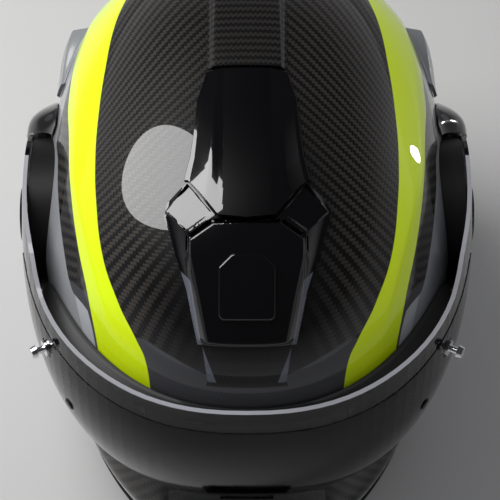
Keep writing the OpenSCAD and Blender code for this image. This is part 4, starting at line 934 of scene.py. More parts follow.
def visor_sheet(s):
    """Clear polycarbonate, with a painted highlight: a pale band along its upper edge that lets no light
    through
    """
    tint, painted_edge_highlight = (0.20, 0.20, 0.215), (0.31, 0.31, 0.34)
    material = clear_sheet("clear_visor", tint, 0.01, 1.36)
    tree = material.node_tree
    body = tree.nodes["Principled BSDF"]
    _, y, z = from_axis(tree)
    edge = s.visor_top - HINGE_Z
    for size, start, run in VISOR_RISES:
        edge = y.ramp(start, start + run, interpolation_type="SMOOTHSTEP") * size + edge
    # The pale band along the upper edge is a painted highlight, and light does not pass through it
    mask = (z - edge).ramp(-0.35, -0.2)
    feed(body.inputs["Base Color"], colour_mix(mask, tint, painted_edge_highlight))
    feed(body.inputs["Transmission Weight"], mask.ramp(0.0, 1.0, 1.0, 0.0))
    return material


def finish_of(name):
    """A finish by its name, made when a piece first asks for it"""
    if name not in MATERIALS:
        scene = bpy.context.scene
        c, f = scene.helmet_colours, scene.helmet_finish
        # Plain finishes give a base colour, a roughness, the scales of the fine grain and of the slow drift
        # (1/m), the grain's depth (m) and how much the tone drifts
        MATERIALS[name] = {
            "carbon": lambda: painted_carbon(c, f),
            "gloss": lambda: plain("gloss_black", c.gloss, 0.16, 700.0, 9.0, 0.00001, **GLOSS),
            "housing": lambda: housing_gloss(c),
            "matte": lambda: plain("matte_black", c.matte, 0.42, 2600.0, 12.0, 0.00005,
                                   Specular_IOR_Level=0.15),
            "fin": lambda: plain("fin_grey", c.fin, 0.30, 1800.0, 14.0, 0.00002, 0.08, Coat_Weight=0.5,
                                 Coat_Roughness=0.12),
            "satin": lambda: plain("satin_black", c.gloss, 0.35, 2600.0, 12.0, 0.00003,
                                   Specular_IOR_Level=0.1),
            "rubber": lambda: plain("rubber", c.rubber, 0.55, 1500.0, 20.0, 0.00006, 0.3),
            "foam": lambda: bead_foam(c, f),
            "laminate": lambda: plain("bare_laminate", c.matte, 0.6, 500.0, 25.0, 0.0001, 0.4),
            "core": lambda: plain("pad_core", c.matte, 0.8, 1200.0, 15.0, 0.0002, 0.3),
            "cloth": lambda: knit_cloth(c.cloth, f),
            "strap": lambda: woven_strap(c.webbing),
            "thread": lambda: plain("strap_thread", (0.10, 0.10, 0.10), 0.6, 900.0, 50.0, 0.00002, 0.3),
            "steel": lambda: plain("plated_steel", (0.60, 0.60, 0.62), 0.24, 900.0, 30.0, 0.00002, 0.1,
                                   Metallic=1.0),
            "post": lambda: plain("polished_post", (0.86, 0.86, 0.88), 0.10, 500.0, 40.0, 0.00001, 0.05,
                                  Metallic=1.0),
            "visor": lambda: visor_sheet(mm(scene.helmet_sizes)),
            "film": lambda: clear_sheet("transport_film", (0.16, 0.15, 0.16), 0.10, 1.22),
            "lens": lambda: clear_sheet("fog_lens", (0.92, 0.94, 0.95), 0.02, 1.45),
        }[name]()
    return MATERIALS[name]


# Operators, one for each piece or group of like pieces

class HelmetPiece:
    """What the operators share: each builds from the shell's form and the sizes in the scene"""
    bl_options = {"REGISTER", "UNDO"}

    def execute(self, context):
        sizes = mm(context.scene.helmet_sizes)
        self.build(ShellForm(sizes), sizes)
        return {"FINISHED"}


def chin_port():
    """A cutter for the chin's port, through the shell and the intake's frame"""
    return block("chin_cutter", 32, 18, 60, [0, HINGE_Y - 150, 40], 90, 3)


def within(x, pitch, corners):
    """How far a place lies inside an outline of distances and pitches, in mm; negative outside"""
    away = np.full(np.broadcast(x, pitch).shape, 1e9)
    for (x0, q0), (x1, q1) in zip(corners, corners[1:] + corners[:1]):
        run = (q1 - q0) * MM_PER_DEGREE
        rise = (pitch - q0) * MM_PER_DEGREE
        away = np.minimum(away, ((x - x0) * run - rise * (x1 - x0)) / math.hypot(x1 - x0, run))
    return away


class HELMET_OT_outer_shell(HelmetPiece, bpy.types.Operator):
    """The laminated shell with its eye opening, crown ridge and vent ports"""
    bl_idname = "helmet.outer_shell"
    bl_label = "Outer Shell"

    def build(self, f, s):
        def face(u, v, inset):
            p = f.up_to_crown(360 * u, v, f.rim(360 * u), 0.45, inset)
            return creased(p) if inset == 0 else p
        shell = slab("outer_shell_skin", 300, 110, face, (0, s.shell_wall), wrap=True, crown=True)
        brow, top, back = f.skin(0, [BROW_PORT_PITCH, TOP_PORT_PITCH, BACK_PORT_PITCH], 0)
        cut(shell, [port_cutter(f, "port_cutter", 16, -1, 0, -6, s.shell_wall + 6),
                    block("top_cutter", 20, 9, 80, [0, top[1], top[2] - 10], 0, 2), chin_port(),
                    *(block(f"exhaust_{x}", 16, 9, 70, [x, back[1], back[2]], -50, 2) for x in (-15, 15)),
                    block("brow_cutter", 22, 6, 60, [0, brow[1] - 13, brow[2] - 8], 32, 2)])

        def ridge(u, v, under):
            across = 2 * u - 1
            lift = -1.5 if under else RIDGE_RISE - 2.2 * ease((np.abs(across) - 0.8) / 0.16)
            return f.skin(across * RIDGE_HALF, mix(*RIDGE_PITCHES, v), lift)
        shell = joined("shell_skin", [shell, slab("crown_ridge", 48, 40, ridge)])
        finished(shell, "carbon", replaces=["outer_shell"])
        # Faces that look in towards the head
        second_finish(shell, "laminate", lambda c, n: np.sum((c - CENTRE) * n, axis=1) < -8)


class HELMET_OT_rim_trim(HelmetPiece, bpy.types.Operator):
    """The rubber bead on the shell's lower edge"""
    bl_idname = "helmet.rim_trim"
    bl_label = "Rim Trim"

    def build(self, f, s):
        wall, lip, high, g, foot = s.shell_wall, RIM_LIP, 8, 0.1, -s.rim_z
        # Inset and height over the shell's edge
        corners = [(-g, -g), (wall + g, -g), (wall + g, high), (wall + 0.8, high + 0.5),
                   (wall + lip, high - 0.6), (wall + lip, foot + 1), (wall + lip - 1, foot), (1 - lip, foot),
                   (-lip, foot + 1), (-lip, high - 0.6), (-0.8, high + 0.5), (-g, high)]

        def section(t):
            a = 360 * t
            rings = []
            for inset, lift in corners:
                p = f.wall(a, f.rim(a) + max(0, lift), inset)
                p[..., 2] += min(0, lift)
                rings.append(p)
            return np.stack(rings, axis=1)
        finished(ring_bar("rim_bead", 240, section), "rubber", replaces=["rim_trim"])


class HELMET_OT_eyeport_seal(HelmetPiece, bpy.types.Operator):
    """The rubber seal round the eye opening"""
    bl_idname = "helmet.eyeport_seal"
    bl_label = "Eye Opening Seal"

    def build(self, f, s):
        def toward(p, part):
            """A part of the way from a place to where the seal meets the visor"""
            far = np.linalg.norm(p - CENTRE, axis=-1)
            gap = (1 / f.visor_share(p) - 1) * far - SEAL_GAP
            return p + (p - CENTRE) * (gap * part / far)[..., None]

        def section(t):
            # Along the top, down one end, back along the bottom and up the other end
            turn = 4 * t
            top = turn < 1.5
            ends = (turn >= 1.5) & (turn < 2)
            low = (turn >= 2) & (turn < 3.5)
            run = np.where(top, turn / 1.5, np.where(low, (turn - 2) / 1.5, 0))
            share = PORT_END * sind(180 * run - 90)
            side = np.where(ends, (turn - 1.5) / 0.5, (turn - 3.5) / 0.5)
            x = np.where(top, share, np.where(low, -share, np.where(ends, PORT_END, -PORT_END)))
            y = np.where(top, 1.0, np.where(low, -1.0, np.where(ends, 1 - 2 * side, 2 * side - 1)))
            lip = [toward(f.port(x, y, grow, 0), part) for grow, part in (
                (5.4, 0.3), (4.6, 0.42), (2.2, 0.85), (1.2, 1.0), (-1.6, 1.0), (-2.4, 0.8))]
            back = [f.port(x, y, grow, inset) for grow, inset in (
                (-SEAT_GAP, 5), (-SEAT_GAP, -SOFT_GAP), (5.5, -SOFT_GAP), (-3.2, 5))]
            return np.stack([*back[:3], *lip, back[3]], axis=1)
        finished(ring_bar("port_seal", 320, section), "rubber", 50, ["eyeport_seal"])


class HELMET_OT_impact_liners(HelmetPiece, bpy.types.Operator):
    """The bead foam in the dome and behind the chin bar"""
    bl_idname = "helmet.impact_liners"
    bl_label = "Impact Liners"

    def build(self, f, s):
        out = s.shell_wall + SOFT_GAP + 0.2

        def face(u, v, inset):
            a = 360 * u
            # Over the cheek pads in front, and down to the neck roll behind
            low = mix(s.cheek_top + 4, 34, ease((np.minimum(a, 360 - a) - 115) / 30))
            return f.up_to_crown(a, v, low, 0.4, inset)
        dome = slab("impact_foam", 200, 70, face, (out, out + s.liner_thick), wrap=True, crown=True)
        cut(dome, [port_cutter(f, "liner_cutter", 24, -3.2, 8, *LINING_CUT)])
        finished(dome, "foam", replaces=["impact_liner"])

        def chin(u, v, inner):
            a, share = mix(-54, 54, u), mix(0.09, 0.48, v)
            return f.wall(a, mix(f.rim(a), s.widest_z, share), f.chin_foam(share) if inner else out)
        bar = slab("chin_foam", 110, 36, chin)
        rounded(bar, 1.2, 3, 50)
        finished(bar, "foam", replaces=["chin_liner"])


class HELMET_OT_brow_intake(HelmetPiece, bpy.types.Operator):
    """The brow housing with its facets, its raised plate and the seat of its slider"""
    bl_idname = "helmet.brow_intake"
    bl_label = "Brow Intake"

    def build(self, f, s):
        def face(u, v, under):
            across = 2 * u - 1
            x = across * np.interp(v, *HOUSING_HALF)
            away = np.abs(x)
            pitch = mix(HOUSING_FRONT, np.interp(away, *HOUSING_REAR), v)
            if under:
                return f.skin(x, pitch, SEAT_GAP)
            rise = mix(0.9, s.brow_rise - 0.9, ease((1 - np.abs(across)) / 0.26) * ease(v / 0.06))
            on_plate = within(away, pitch, HOUSING_PLATE)
            rise = rise + 0.9 * ease((on_plate + 0.1) / 0.7)
            # A trench runs round the plate's rear, and stops at the corners between its facets
            trench = (ease((on_plate + 2.0) / 0.45) * (1 - ease((on_plate + 0.5) / 0.45))
                      * ease((pitch - 46.5) / 1.2))
            corners = np.minimum(np.abs(away - 17.6), np.abs(away - 30))
            rise = rise - 2.6 * trench * ease((corners - 0.7) / 0.5)
            slope = mix(5.3, 1.6, np.clip((away - 18) / 26, 0, 1))
            on_diamond = within(away, pitch, HOUSING_DIAMOND)
            return f.skin(x, pitch, mix(rise, slope, ease((on_diamond + 0.2) / 0.45)))
        housing = slab("brow_housing", 236, 178, face)
        seat, along, out, turn = f.brow_frame()
        cut(housing, [block("slot_cutter", 12.6, 15.6, 20, seat + along * 3.5 + out * 12, turn, 1.5),
                      block("duct_cutter", 22, 6, 60, [0, seat[1] - 11.2, seat[2] - 7], turn, 2)])
        finished(housing, "housing", replaces=["brow_vent_housing"])


class HELMET_OT_brow_button(HelmetPiece, bpy.types.Operator):
    """The sliding cover of the brow intake, with its rear corners cut off, and its stem"""
    bl_idname = "helmet.brow_button"
    bl_label = "Brow Button"

    def build(self, f, s):
        edge = rounded_outline(BUTTON_OUTLINE, 3)
        low = s.brow_rise + 0.3

        def face(u, v, under):
            share = 1 - v ** 1.8
            x, along = (values * share for values in edge(u))
            if under:
                sweep = (np.minimum(along, 0) ** 2 - np.minimum(along + 7, 0) ** 2) / 300
                return f.over_brow(x, along, low + np.maximum(0, sweep))
            inward = (1 - share) * 15
            rounding = 0.8 - np.sqrt(np.maximum(0, 0.64 - np.clip(0.8 - inward, 0, 0.8) ** 2))
            return f.over_brow(x, along, low + 1.6 - rounding)
        button = slab("button_cover", 240, 26, face, wrap=True, crown=True)
        seat, _, out, turn = f.brow_frame()
        stem = block("button_stem", 12, 8, 4.8, seat + out * 4.6, turn, 1.2)
        finished(joined("brow_button", [button, stem]), "gloss", 40, ["brow_vent_slider"],
                 "brow_slider")


class HELMET_OT_top_scoop(HelmetPiece, bpy.types.Operator):
    """The duct on the crown: a matte top between gloss facets"""
    bl_idname = "helmet.top_scoop"
    bl_label = "Top Scoop"

    def build(self, f, s):
        def face(u, v, under):
            across = 2 * u - 1
            share = np.abs(across)
            x = across * np.interp(v, *SCOOP_HALF)
            away = np.abs(x)
            # It starts just behind the housing's rear edge
            behind = np.interp(away, *(values[:3] for values in HOUSING_REAR)) + 0.9
            start = np.where(away < HOUSING_REAR[0][2], behind, SCOOP_SIDE)
            lift = mix(0.8, mix(s.scoop_rise, 2.5, ease(v)), np.interp(share, *SCOOP_CREASES))
            if under:
                lift = np.where((share < 0.4) & (v < 0.45), lift - 2.2, SEAT_GAP)
            return f.skin(x, mix(start, SCOOP_END, v), lift)
        scoop = slab("scoop", 120, 110, face)
        rounded(scoop, 0.5, 2, 40)
        finished(scoop, "gloss", 14, ["top_scoop"])
        second_finish(scoop, "satin", lambda c, n: (np.abs(c[:, 0]) < SCOOP_TOP_HALF) & (n[:, 2] > 0.5))


class HELMET_OT_chin_intake(HelmetPiece, bpy.types.Operator):
    """The frame of the chin intake"""
    bl_idname = "helmet.chin_intake"
    bl_label = "Chin Intake"

    def build(self, f, s):
        low, high, reach = 22, 60, 30

        def face(u, v, under):
            x, z = mix(-reach, reach, u), mix(low, high, v)
            edge = ease((reach - np.abs(x)) / 6) * ease((z - low) / 4.5) * ease((high - z) / 4.5)
            return stacked(x, f.chin_front(x, z, SEAT_GAP if under else mix(0.8, s.chin_rise, edge)), z)
        housing = slab("chin_frame", 120, 90, face)
        lean = math.degrees(math.atan2(f.chin_front(0, 32, 0) - f.chin_front(0, 48, 0), 16))
        seat = np.array([0, float(f.chin_front(0, 40, 0)), 40])
        out = np.array([0, -cosd(lean), -sind(lean)])
        up = np.array([0, -sind(lean), cosd(lean)])
        cut(housing, [block("shutter_cutter", 38, 30, 12, seat + out * 7 - up * 3, 90 + lean, 2),
                      chin_port()])
        finished(housing, "gloss", replaces=["chin_vent_housing"])


class HELMET_OT_rear_spoiler(HelmetPiece, bpy.types.Operator):
    """The low spoiler that hoods the exhaust ports"""
    bl_idname = "helmet.rear_spoiler"
    bl_label = "Rear Spoiler"

    def build(self, f, s):
        def face(u, v, under):
            across = 2 * u - 1
            share = np.abs(across)
            lift = mix(0.9, mix(*SPOILER_RISES, v), ease((1 - share) / 0.35) * ease(v / 0.15 + 0.2))
            if under:
                lift = np.where((share < HOLLOW_PART) & (v > 0.3), lift - HOLLOW_WALL, SEAT_GAP)
            return f.skin(across * mix(*SPOILER_HALVES, ease(v)), mix(*SPOILER_PITCHES, v), lift)
        wing = slab("spoiler", 140, 70, face)
        rounded(wing, 0.7, 3, 45)
        finished(wing, "gloss", replaces=["rear_spoiler"])


class HELMET_OT_side_fins(HelmetPiece, bpy.types.Operator):
    """The grey fins at the upper rear of each side"""
    bl_idname = "helmet.side_fins"
    bl_label = "Side Fins"

    def build(self, f, s):
        def face(u, v, under):
            across = 2 * u - 1
            share = np.abs(across)
            y = HINGE_Y + mix(66, 114, v) - 7 * (across + 1) * v
            z = mix(182, 178, v) + across * mix(5, 21, ease(v * 0.8 + 0.2))
            lift = mix(2.2, 9, ease(v * 0.9 + 0.05))
            if under:
                lift = np.where((share < HOLLOW_PART) & (v > 0.2), lift - HOLLOW_WALL, SEAT_GAP)
            else:
                lift = mix(0.9, lift, ease((1 - share) / 0.26))
            return stacked(f.side(y, z) + lift, y, z)
        fin = slab("fin_left", 72, 56, face)
        rounded(fin, 0.5, 2, 45)
        both_sides(fin, "fin_right", "fin", ["side_fin_left", "side_fin_right"])


class HELMET_OT_side_pods(HelmetPiece, bpy.types.Operator):
    """The gloss covers behind the visor's arms"""
    bl_idname = "helmet.side_pods"
    bl_label = "Side Pods"

    def build(self, f, s):
        first, last = POD_EDGE[0][0], POD_EDGE[0][-1]

        def face(u, v, under):
            angle = mix(first, last, u)
            r = mix(POD_INNER, np.interp(angle, *POD_EDGE), v)
            y, z = HINGE_Y - r * cosd(angle), HINGE_Z + r * sind(angle)
            x = f.side(y, z)
            if under:
                return stacked(x + SEAT_GAP, y, z)
            end = ease((angle - first) / 36 + 0.06) * ease((last - angle) / 20 + 0.1)
            return stacked(mix(x + 1.6, POD_FACE - 0.8 * v, (1 - v ** 3) * end), y, z)
        pod = slab("pod_left", 140, 36, face)
        deselect()
        bpy.ops.mesh.primitive_cylinder_add(
            vertices=48, radius=3.4 * MM, depth=20 * MM, rotation=(0, math.pi / 2, 0),
            location=CENTRE * MM + np.array([133.4, 58, 4]) * MM)
        bpy.ops.object.transform_apply(location=True, rotation=True, scale=True)
        cut(pod, [named("screw_well")])
        rounded(pod, 0.5, 2, 45)
        both_sides(pod, "pod_right", "gloss", ["side_pod_left", "side_pod_right"])


def puffed(obj, voxel, cap):
    """Swells a pad with a short cloth simulation; no point moves further than the cap"""
    modifier(obj, "REMESH", mode="VOXEL", voxel_size=voxel * MM)
    before = read(obj.data)
    only(obj)
    cloth = obj.modifiers.new("cloth", "CLOTH")
    cloth.settings.use_pressure = True
    cloth.settings.uniform_pressure_force = 4
    cloth.settings.effector_weights.gravity = 0
    for number in range(1, 21):
        bpy.context.scene.frame_set(number)
    bpy.ops.object.modifier_apply(modifier=cloth.name)
    bpy.context.scene.frame_set(1)
    moved = read(obj.data) - before
    size = np.maximum(np.linalg.norm(moved, axis=1), 1e-9)
    write(obj.data, (before + moved * np.minimum(1, cap * MM / size)[:, None]) / MM)


class CheekForm:
    """Faces of the cheek cushions, by the place along the helmet and the height"""

    def __init__(self, sizes):
        self.s = sizes
        self.front, self.back = HINGE_Y - 70, HINGE_Y + 34

    def shares(self, y, z):
        return (2 * (y - self.front) / (self.back - self.front) - 1,
                2 * (z - self.s.cheek_low) / (self.s.cheek_top - self.s.cheek_low) - 1)

    def rear(self, y):
        core = self.s.half_width - 39.5
        lean = 14 * ease((self.front + 40 - y) / 60) - 4 * ease((y - self.back + 30) / 30)
        return core - lean + 2 - SOFT_GAP

    def swell(self, y, z):
        a, b = (np.minimum(np.abs(share), 1) for share in self.shares(y, z))
        return 3 + 7.5 * np.sqrt((1 - a ** 3) * (1 - b ** 3))


class HELMET_OT_cheek_pads(HelmetPiece, bpy.types.Operator):
    """The cheek cushions: knit covers with a sewn channel and a seam inside their edge"""
    bl_idname = "helmet.cheek_pads"
    bl_label = "Cheek Pads"

    def build(self, f, s):
        form_of = CheekForm(s)

        def face(u, v, inner):
            a, b = 2 * u - 1, 2 * v - 1
            y = mix(form_of.front, form_of.back, (a * (1 - 0.09 * b ** 6) * 0.985 + 1) / 2)
            z = mix(s.cheek_low, s.cheek_top, (b * (1 - 0.09 * a ** 6) * 0.985 + 1) / 2)
            return stacked(form_of.rear(y) - (form_of.swell(y, z) if inner else 0), y, z)
        pad = slab("cheek_cushion_left", 48, 38, face)
        puffed(pad, 4.0, 2.4)
        modifier(pad, "SUBSURF", levels=2, render_levels=2)
        p = read(pad.data) / MM
        a, b = form_of.shares(p[:, 1], p[:, 2])
        inward = ease((form_of.rear(p[:, 1]) - p[:, 0] - 2.0) / 2.5)
        channel = np.exp(-((a + 0.15 - 0.3 * b) / 0.035) ** 2) * (1 - np.minimum(1, np.abs(b)) ** 6)
        seam = np.exp(-((np.maximum(np.abs(a) * 1.02, np.abs(b) * 1.03) - 0.86) / 0.022) ** 2)
        p[:, 0] += inward * (2.2 * channel + 0.9 * seam)
        p[:, 0] = np.minimum(p[:, 0], form_of.rear(p[:, 1]))
        p[:, 1] = np.clip(p[:, 1], form_of.front - 1.5, form_of.back + 1.5)
        p[:, 2] = np.clip(p[:, 2], s.cheek_low - 1.5, s.cheek_top + 1.5)
        write(pad.data, p)
        for piece in both_sides(pad, "cheek_cushion_right", "cloth",
                                ["cheek_pad_left", "cheek_pad_right"], 70):
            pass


class HELMET_OT_crown_cushion(HelmetPiece, bpy.types.Operator):
    """The quilted lining of the dome"""
    bl_idname = "helmet.crown_cushion"
    bl_label = "Crown Cushion"

    def build(self, f, s):
        outer = s.shell_wall + SOFT_GAP + s.liner_thick + SOFT_GAP

        def face(u, v, soft):
            a, w = 360 * u, mix(0.24, 0.9999, v)
            inset = np.full(np.broadcast(a, w).shape, outer)
            if soft:
                quilt = 0.72 + 0.28 * np.abs(cosd(2.5 * a)) ** 0.6
                seam = 1 - 0.16 * np.exp(-((v - 0.42) / 0.03) ** 2)
                inset = inset + s.crown_pad_thick * quilt * seam * (0.3 + 0.7 * ease((w - 0.22) / 0.14))
            return f.wall(a, f.crown_height(w, inset), inset)
        pad = slab("crown_cushion", 240, 70, face, wrap=True, crown=True)
        cut(pad, [port_cutter(f, "pad_cutter", 24, -3, 12, *LINING_CUT)])
        finished(pad, "cloth", 60, ["crown_pad"])


class HELMET_OT_neck_cushion(HelmetPiece, bpy.types.Operator):
    """The roll round the nape, drawn in by sewn channels"""
    bl_idname = "helmet.neck_cushion"
    bl_label = "Neck Cushion"

    def build(self, f, s):
        def face(u, v, inner):
            a, angle = mix(112, 248, u), 360 - 180 * v if inner else 180 * v
            end = np.clip((68 - np.abs(a - 180)) / 12, 0, 1)
            plump = 0.35 + 0.65 * np.sqrt(np.maximum(0, end * (2 - end)))
            sewn = 1 - 0.10 * np.exp(-((((a - 180) / 17 + 0.5) % 1 - 0.5) / 0.05) ** 2)
            bulge = (1 + 0.05 * cosd(8 * (a - 180))) * sewn
            thick = 24 * plump * (0.5 - 0.5 * bend(cosd(angle), 0.8)) * bulge
            z = 21 + 9 * bend(sind(angle), 0.85) * mix(0.55, 1, plump) * sewn
            return f.wall(a, z, s.shell_wall + RIM_LIP + SOFT_GAP + thick)
        roll = slab("neck_cushion", 220, 22, face)
        finished(roll, "cloth", 70, ["neck_roll"])


class HELMET_OT_chin_cloth(HelmetPiece, bpy.types.Operator):
    """The cloth curtain under the chin, gathered along its elastic hem"""
    bl_idname = "helmet.chin_cloth"
    bl_label = "Chin Curtain"

    def build(self, f, s):
        fixed, free = s.shell_wall + RIM_LIP + 0.5, 40

        def middle(u, v):
            inset = mix(fixed, free, v)
            p = f.wall(mix(-52, 52, u), 9.0, inset)
            gather = 0.35 * np.sin(u * 150) * ease((v - 0.25) / 0.6)
            p[..., 2] = 9.8 + 1.5 * ease((inset - 16) / 12) + gather
            return p

        def face(u, v, side):
            hem = 0.45 + 0.45 * np.exp(-((v - 0.965) / 0.03) ** 2)
            edges = np.minimum(ease(v / 0.01) + 0.4, 1) * np.minimum(ease((1 - v) / 0.012) + 0.4, 1)
            return middle(u, v) + [0, 0, 1] * (side * hem * edges)[..., None]
        cloth = slab("chin_cloth", 300, 56, face, (1, -1))
        u, v = np.meshgrid(np.linspace(0, 1, 121), np.linspace(0, 1, 31))
        p = middle(u, v) * MM
        steps = p[1:, 1:] - p[:-1, :-1], p[1:, :-1] - p[:-1, 1:]
        finished(cloth, "cloth", 60, ["chin_curtain"])


class HELMET_OT_nose_guard(HelmetPiece, bpy.types.Operator):
    """The rubber guard over the nose, with a rolled lip"""
    bl_idname = "helmet.nose_guard"
    bl_label = "Nose Guard"

    def build(self, f, s):
        def face(u, v, side):
            a, t = mix(-27, 27, u), 2 * v
            share = mix(0.38, 0.48, np.minimum(1, t))
            lip = 0.45 * np.exp(-((t - 1.93) / 0.06) ** 2)
            edges = 1 - 0.4 * (1 - ease((1 - np.abs(2 * u - 1)) / 0.03))
            inset = f.chin_foam(share) + SOFT_GAP + 1 + side * (edges + lip)
            p = f.wall(a, mix(f.rim(a), s.widest_z, share), inset)
            up = np.maximum(0, t - 1)
            p[..., 1] += 6 * up * up
            p[..., 2] += (16 - 12 * (np.abs(a) / 27) ** 2) * up
            return p
        guard = slab("nose_guard", 110, 60, face, (-1, 1))
        rounded(guard, 0.6, 2, 60)
        finished(guard, "rubber", 50, ["breath_guard"])


class HELMET_OT_chin_straps(HelmetPiece, bpy.types.Operator):
    """The two webbings of the chin strap, with their sewn ends"""
    bl_idname = "helmet.chin_straps"
    bl_label = "Chin Straps"

    def build(self, f, s):
        y0, level, turn, t = HINGE_Y + 8, 40, 8, s.strap_thick
        inset = s.shell_wall + RIM_LIP + STRAP_PLAY + t / 2
        top = float(f.side(y0, level)) - inset

        def beside(z):
            return float(f.side(y0, z)) - inset - STRAP_PLAY

        def route(end_x, end_z):
            low = turn + 13
            straight = [(beside(z), z) for z in (level + 9, level, level - 8, low + 4)]
            corner = [(beside(low) - turn * (1 - cosd(a)), low - turn * sind(a))
                      for a in np.arange(0, 91, 22.5)]
            return straight + corner + [(top - 26, 12.4), ((top + end_x) / 2 - 8, min(12, end_z)),
                                        (end_x, end_z)]

        def webbing(name, line, count):
            path = smooth_path(line, count)
            ahead = np.gradient(path, axis=0)
            normal = np.stack([-ahead[:, 1], ahead[:, 0]], axis=1) / np.linalg.norm(ahead, axis=1)[:, None]
            spot = np.linspace(0, 1, count)

            def face(u, v, side):
                rim = ((1 - np.abs(2 * u - 1) ** 10) ** 0.5 * 0.75 + 0.25) * side * t / 2
                x, z = (np.interp(v, spot, path[:, k]) + np.interp(v, spot, normal[:, k]) * rim
                        for k in (0, 1))
                return stacked(x, y0 + (u - 0.5) * s.strap_wide, z)
            return slab(name, 24, count - 1, face, (1, -1)), path, normal

        def stitches(name, path, normal):
            """Short threads in rows along the webbing's outer face"""
            deselect()
            bpy.ops.mesh.primitive_uv_sphere_add(segments=8, ring_count=6, radius=1, location=(0, 0, 0))
            thread = named("thread")
            unit = read(thread.data)
            far = run_along(path)
            copies = []
            for row in (-8.5, 8.5):
                for at in np.arange(4, 22, 2.6):
                    centre = [np.interp(at, far, path[:, k]) for k in (0, 1)]
                    out = np.array([np.interp(at, far, normal[:, k]) for k in (0, 1)])
                    along = np.array([out[1], -out[0]])
                    spot = unit[:, :1] * 0.95 * along + unit[:, 2:] * 0.22 * out + centre + out * t / 2
                    copies.append(copied(thread, name))
                    write(copies[-1].data, stacked(spot[:, 0], y0 + row + unit[:, 1] * 0.3, spot[:, 1]))
            bpy.data.objects.remove(thread)
            return finished(outward(joined(name, copies)), "thread", 60)

        # The left band ends in a loop round both rings, past their wire and its play
        reach = 1.95 + 1.7 + 0.25 + t / 2
        around = [(RING_X + reach * cosd(a), RING_Z + reach * sind(a)) for a in range(15, 331, 15)]
        left, path, normal = webbing("strap_left_band", route(RING_X + reach, RING_Z), 120)
        ring = webbing("strap_left_loop", around, 60)[0]
        finished(joined("strap_left", [left, ring]), "strap", 50, ["chin_strap_left"])
        stitches("strap_left_threads", path, normal)
        right, path, normal = webbing("strap_right", route(-4, 8), 150)
        finished(flipped(right), "strap", 50, ["chin_strap_right"])
        flipped(stitches("strap_right_threads", path, normal))


class HELMET_OT_carried_hardware(HelmetPiece, bpy.types.Operator):
    """Finishes for the solid model's own screws, levers, caps, rings, slides and sheets"""
    bl_idname = "helmet.carried_hardware"
    bl_label = "Carried Hardware"

    def build(self, f, s):
        finishes = {
            "gloss": ["hub_cap_left", "hub_cap_right"],
            "matte": ["brow_vent_mesh", "chin_vent_shutter", "chin_vent_mesh", "pivot_plate_left",
                      "pivot_plate_right", "release_lever_left", "release_lever_right", "fog_lens_pins"],
            "steel": ["plate_screws", "pod_screws", "release_spring_left", "release_spring_right",
                      "d_ring_upper", "d_ring_lower", "strap_anchors"],
            "post": ["tear_off_posts"],
            "visor": ["visor"],
            "film": ["visor_film"],
            "lens": ["fog_lens"],
            "core": ["cheek_core_left", "cheek_core_right"],
        }
        for name, members in finishes.items():
            for member in members:
                mesh = frame["nodes"][member].data
                mesh.materials.clear()
                mesh.materials.append(finish_of(name))


# The camera's sensor (mm), and the picture's width and scale (pixels) that the lens was fitted to
SENSOR, PICTURE, PIXELS_PER_RADIAN = 36, 500, 1983
# Lamps: name, direction from the helmet, distance (m), width and height (m) and power (W)
LAMPS = (("key", (-0.58, 0.22, 0.785), 1.0, 0.62, 1.15, 13.4),
         ("spark", (0.84, 0.53, -0.10), 1.3, 0.07, 0.15, 0.8))
LAMP_AIM = [0, 0, 0.22]
FLOOR_SIZE = 160


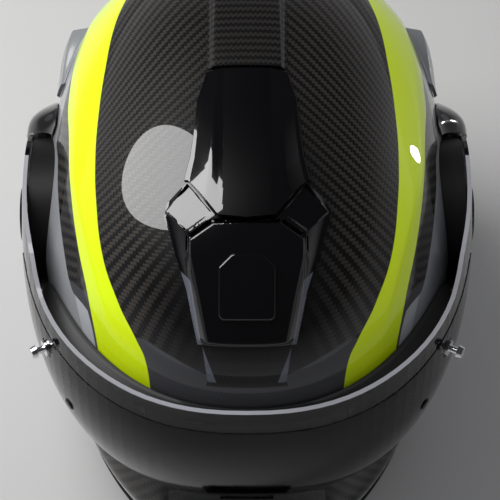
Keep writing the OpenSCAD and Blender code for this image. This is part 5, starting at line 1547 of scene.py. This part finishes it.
class HELMET_OT_stage(HelmetPiece, bpy.types.Operator):
    """Pale floor, soft studio lights and the camera"""
    bl_idname = "helmet.stage"
    bl_label = "Studio"

    def build(self, f, s):
        scene = bpy.context.scene
        deselect()
        bpy.ops.mesh.primitive_plane_add(size=FLOOR_SIZE, location=(0, 0, 0))
        floor = named("studio_floor")
        made, tree, body = shader("studio_floor", Roughness=0.9)
        base = scene.helmet_colours.floor
        feed(body.inputs["Base Color"],
             colour_mix(noise(tree, object_place(tree), 3.0), tinted(base, 0.98), base))
        floor.data.materials.append(made)
        for name, toward, far, wide, tall, power in LAMPS:
            lamp = bpy.data.lights.new(name, "AREA")
            lamp.shape = "ELLIPSE"
            lamp.size, lamp.size_y = wide, tall
            lamp.energy = power
            light = bpy.data.objects.new(name, lamp)
            light.visible_camera = False
            scene.collection.objects.link(light)
            aim = np.array(toward) / np.linalg.norm(toward)
            light.location = aim * far + LAMP_AIM
            light.rotation_euler = (math.acos(aim[2]), 0, math.atan2(aim[1], aim[0]) + math.pi / 2)
        world = bpy.data.worlds.new("studio")
        world.use_nodes = True
        sky = world.node_tree
        back = sky.nodes["Background"]
        toward = new_node(sky, "ShaderNodeTexCoord").outputs["Generated"]
        up = Value(new_node(sky, "ShaderNodeSeparateXYZ", {0: toward}).outputs[2])
        ray = Value(new_node(sky, "ShaderNodeLightPath").outputs["Is Diffuse Ray"])
        # Reflections see it pale at the horizon and dark above; soft light comes evenly from all of it
        feed(back.inputs["Strength"], choose(ray, up.ramp(0.0, 0.45, 0.42, 0.04), 0.30))
        back.inputs["Color"].default_value = (0.95, 0.96, 1.0, 1)
        scene.world = world
        finish = scene.helmet_finish
        lens = bpy.data.cameras.new("camera")
        lens.sensor_width = SENSOR
        lens.lens = SENSOR * PIXELS_PER_RADIAN / PICTURE
        lens.shift_x, lens.shift_y = 0.006, -36 / PICTURE
        lens.clip_start = 0.01
        camera = bpy.data.objects.new("camera", lens)
        scene.collection.objects.link(camera)
        tilt = finish.elevation
        camera.location = (0, HINGE_Y * MM - finish.distance * math.cos(tilt),
                           HINGE_Z * MM + finish.distance * math.sin(tilt))
        camera.rotation_euler = (math.pi / 2 - tilt, 0, 0)
        scene.camera = camera
        scene.view_settings.view_transform = "Standard"


OPERATORS = (HELMET_OT_stage, HELMET_OT_outer_shell, HELMET_OT_rim_trim, HELMET_OT_eyeport_seal,
             HELMET_OT_impact_liners, HELMET_OT_brow_intake, HELMET_OT_brow_button, HELMET_OT_top_scoop,
             HELMET_OT_chin_intake, HELMET_OT_rear_spoiler, HELMET_OT_side_fins, HELMET_OT_side_pods,
             HELMET_OT_cheek_pads, HELMET_OT_crown_cushion, HELMET_OT_neck_cushion, HELMET_OT_chin_cloth,
             HELMET_OT_nose_guard, HELMET_OT_chin_straps, HELMET_OT_carried_hardware)
SETTINGS = {"helmet_sizes": HelmetSizes, "helmet_colours": HelmetColours, "helmet_finish": HelmetFinish}


class HELMET_PT_pieces(bpy.types.Panel):
    """Lists the helmet's sizes, colours and pieces"""
    bl_idname = "HELMET_PT_pieces"
    bl_label = "Helmet"
    bl_space_type = "VIEW_3D"
    bl_region_type = "UI"
    bl_category = "Helmet"

    def draw(self, context):
        for name, kind in SETTINGS.items():
            for key in kind.__annotations__:
                self.layout.prop(getattr(context.scene, name), key)
        for operator in OPERATORS:
            self.layout.operator(operator.bl_idname)


CLASSES = (*SETTINGS.values(), *OPERATORS, HELMET_PT_pieces)


def register():
    for made in CLASSES:
        bpy.utils.register_class(made)
    for name, kind in SETTINGS.items():
        setattr(bpy.types.Scene, name, bpy.props.PointerProperty(type=kind))


def unregister():
    for name in SETTINGS:
        delattr(bpy.types.Scene, name)
    for made in reversed(CLASSES):
        bpy.utils.unregister_class(made)


def main():
    register()
    for operator in OPERATORS:
        getattr(bpy.ops.helmet, operator.bl_idname.split(".")[1])()


if __name__ == "__main__":
    main()
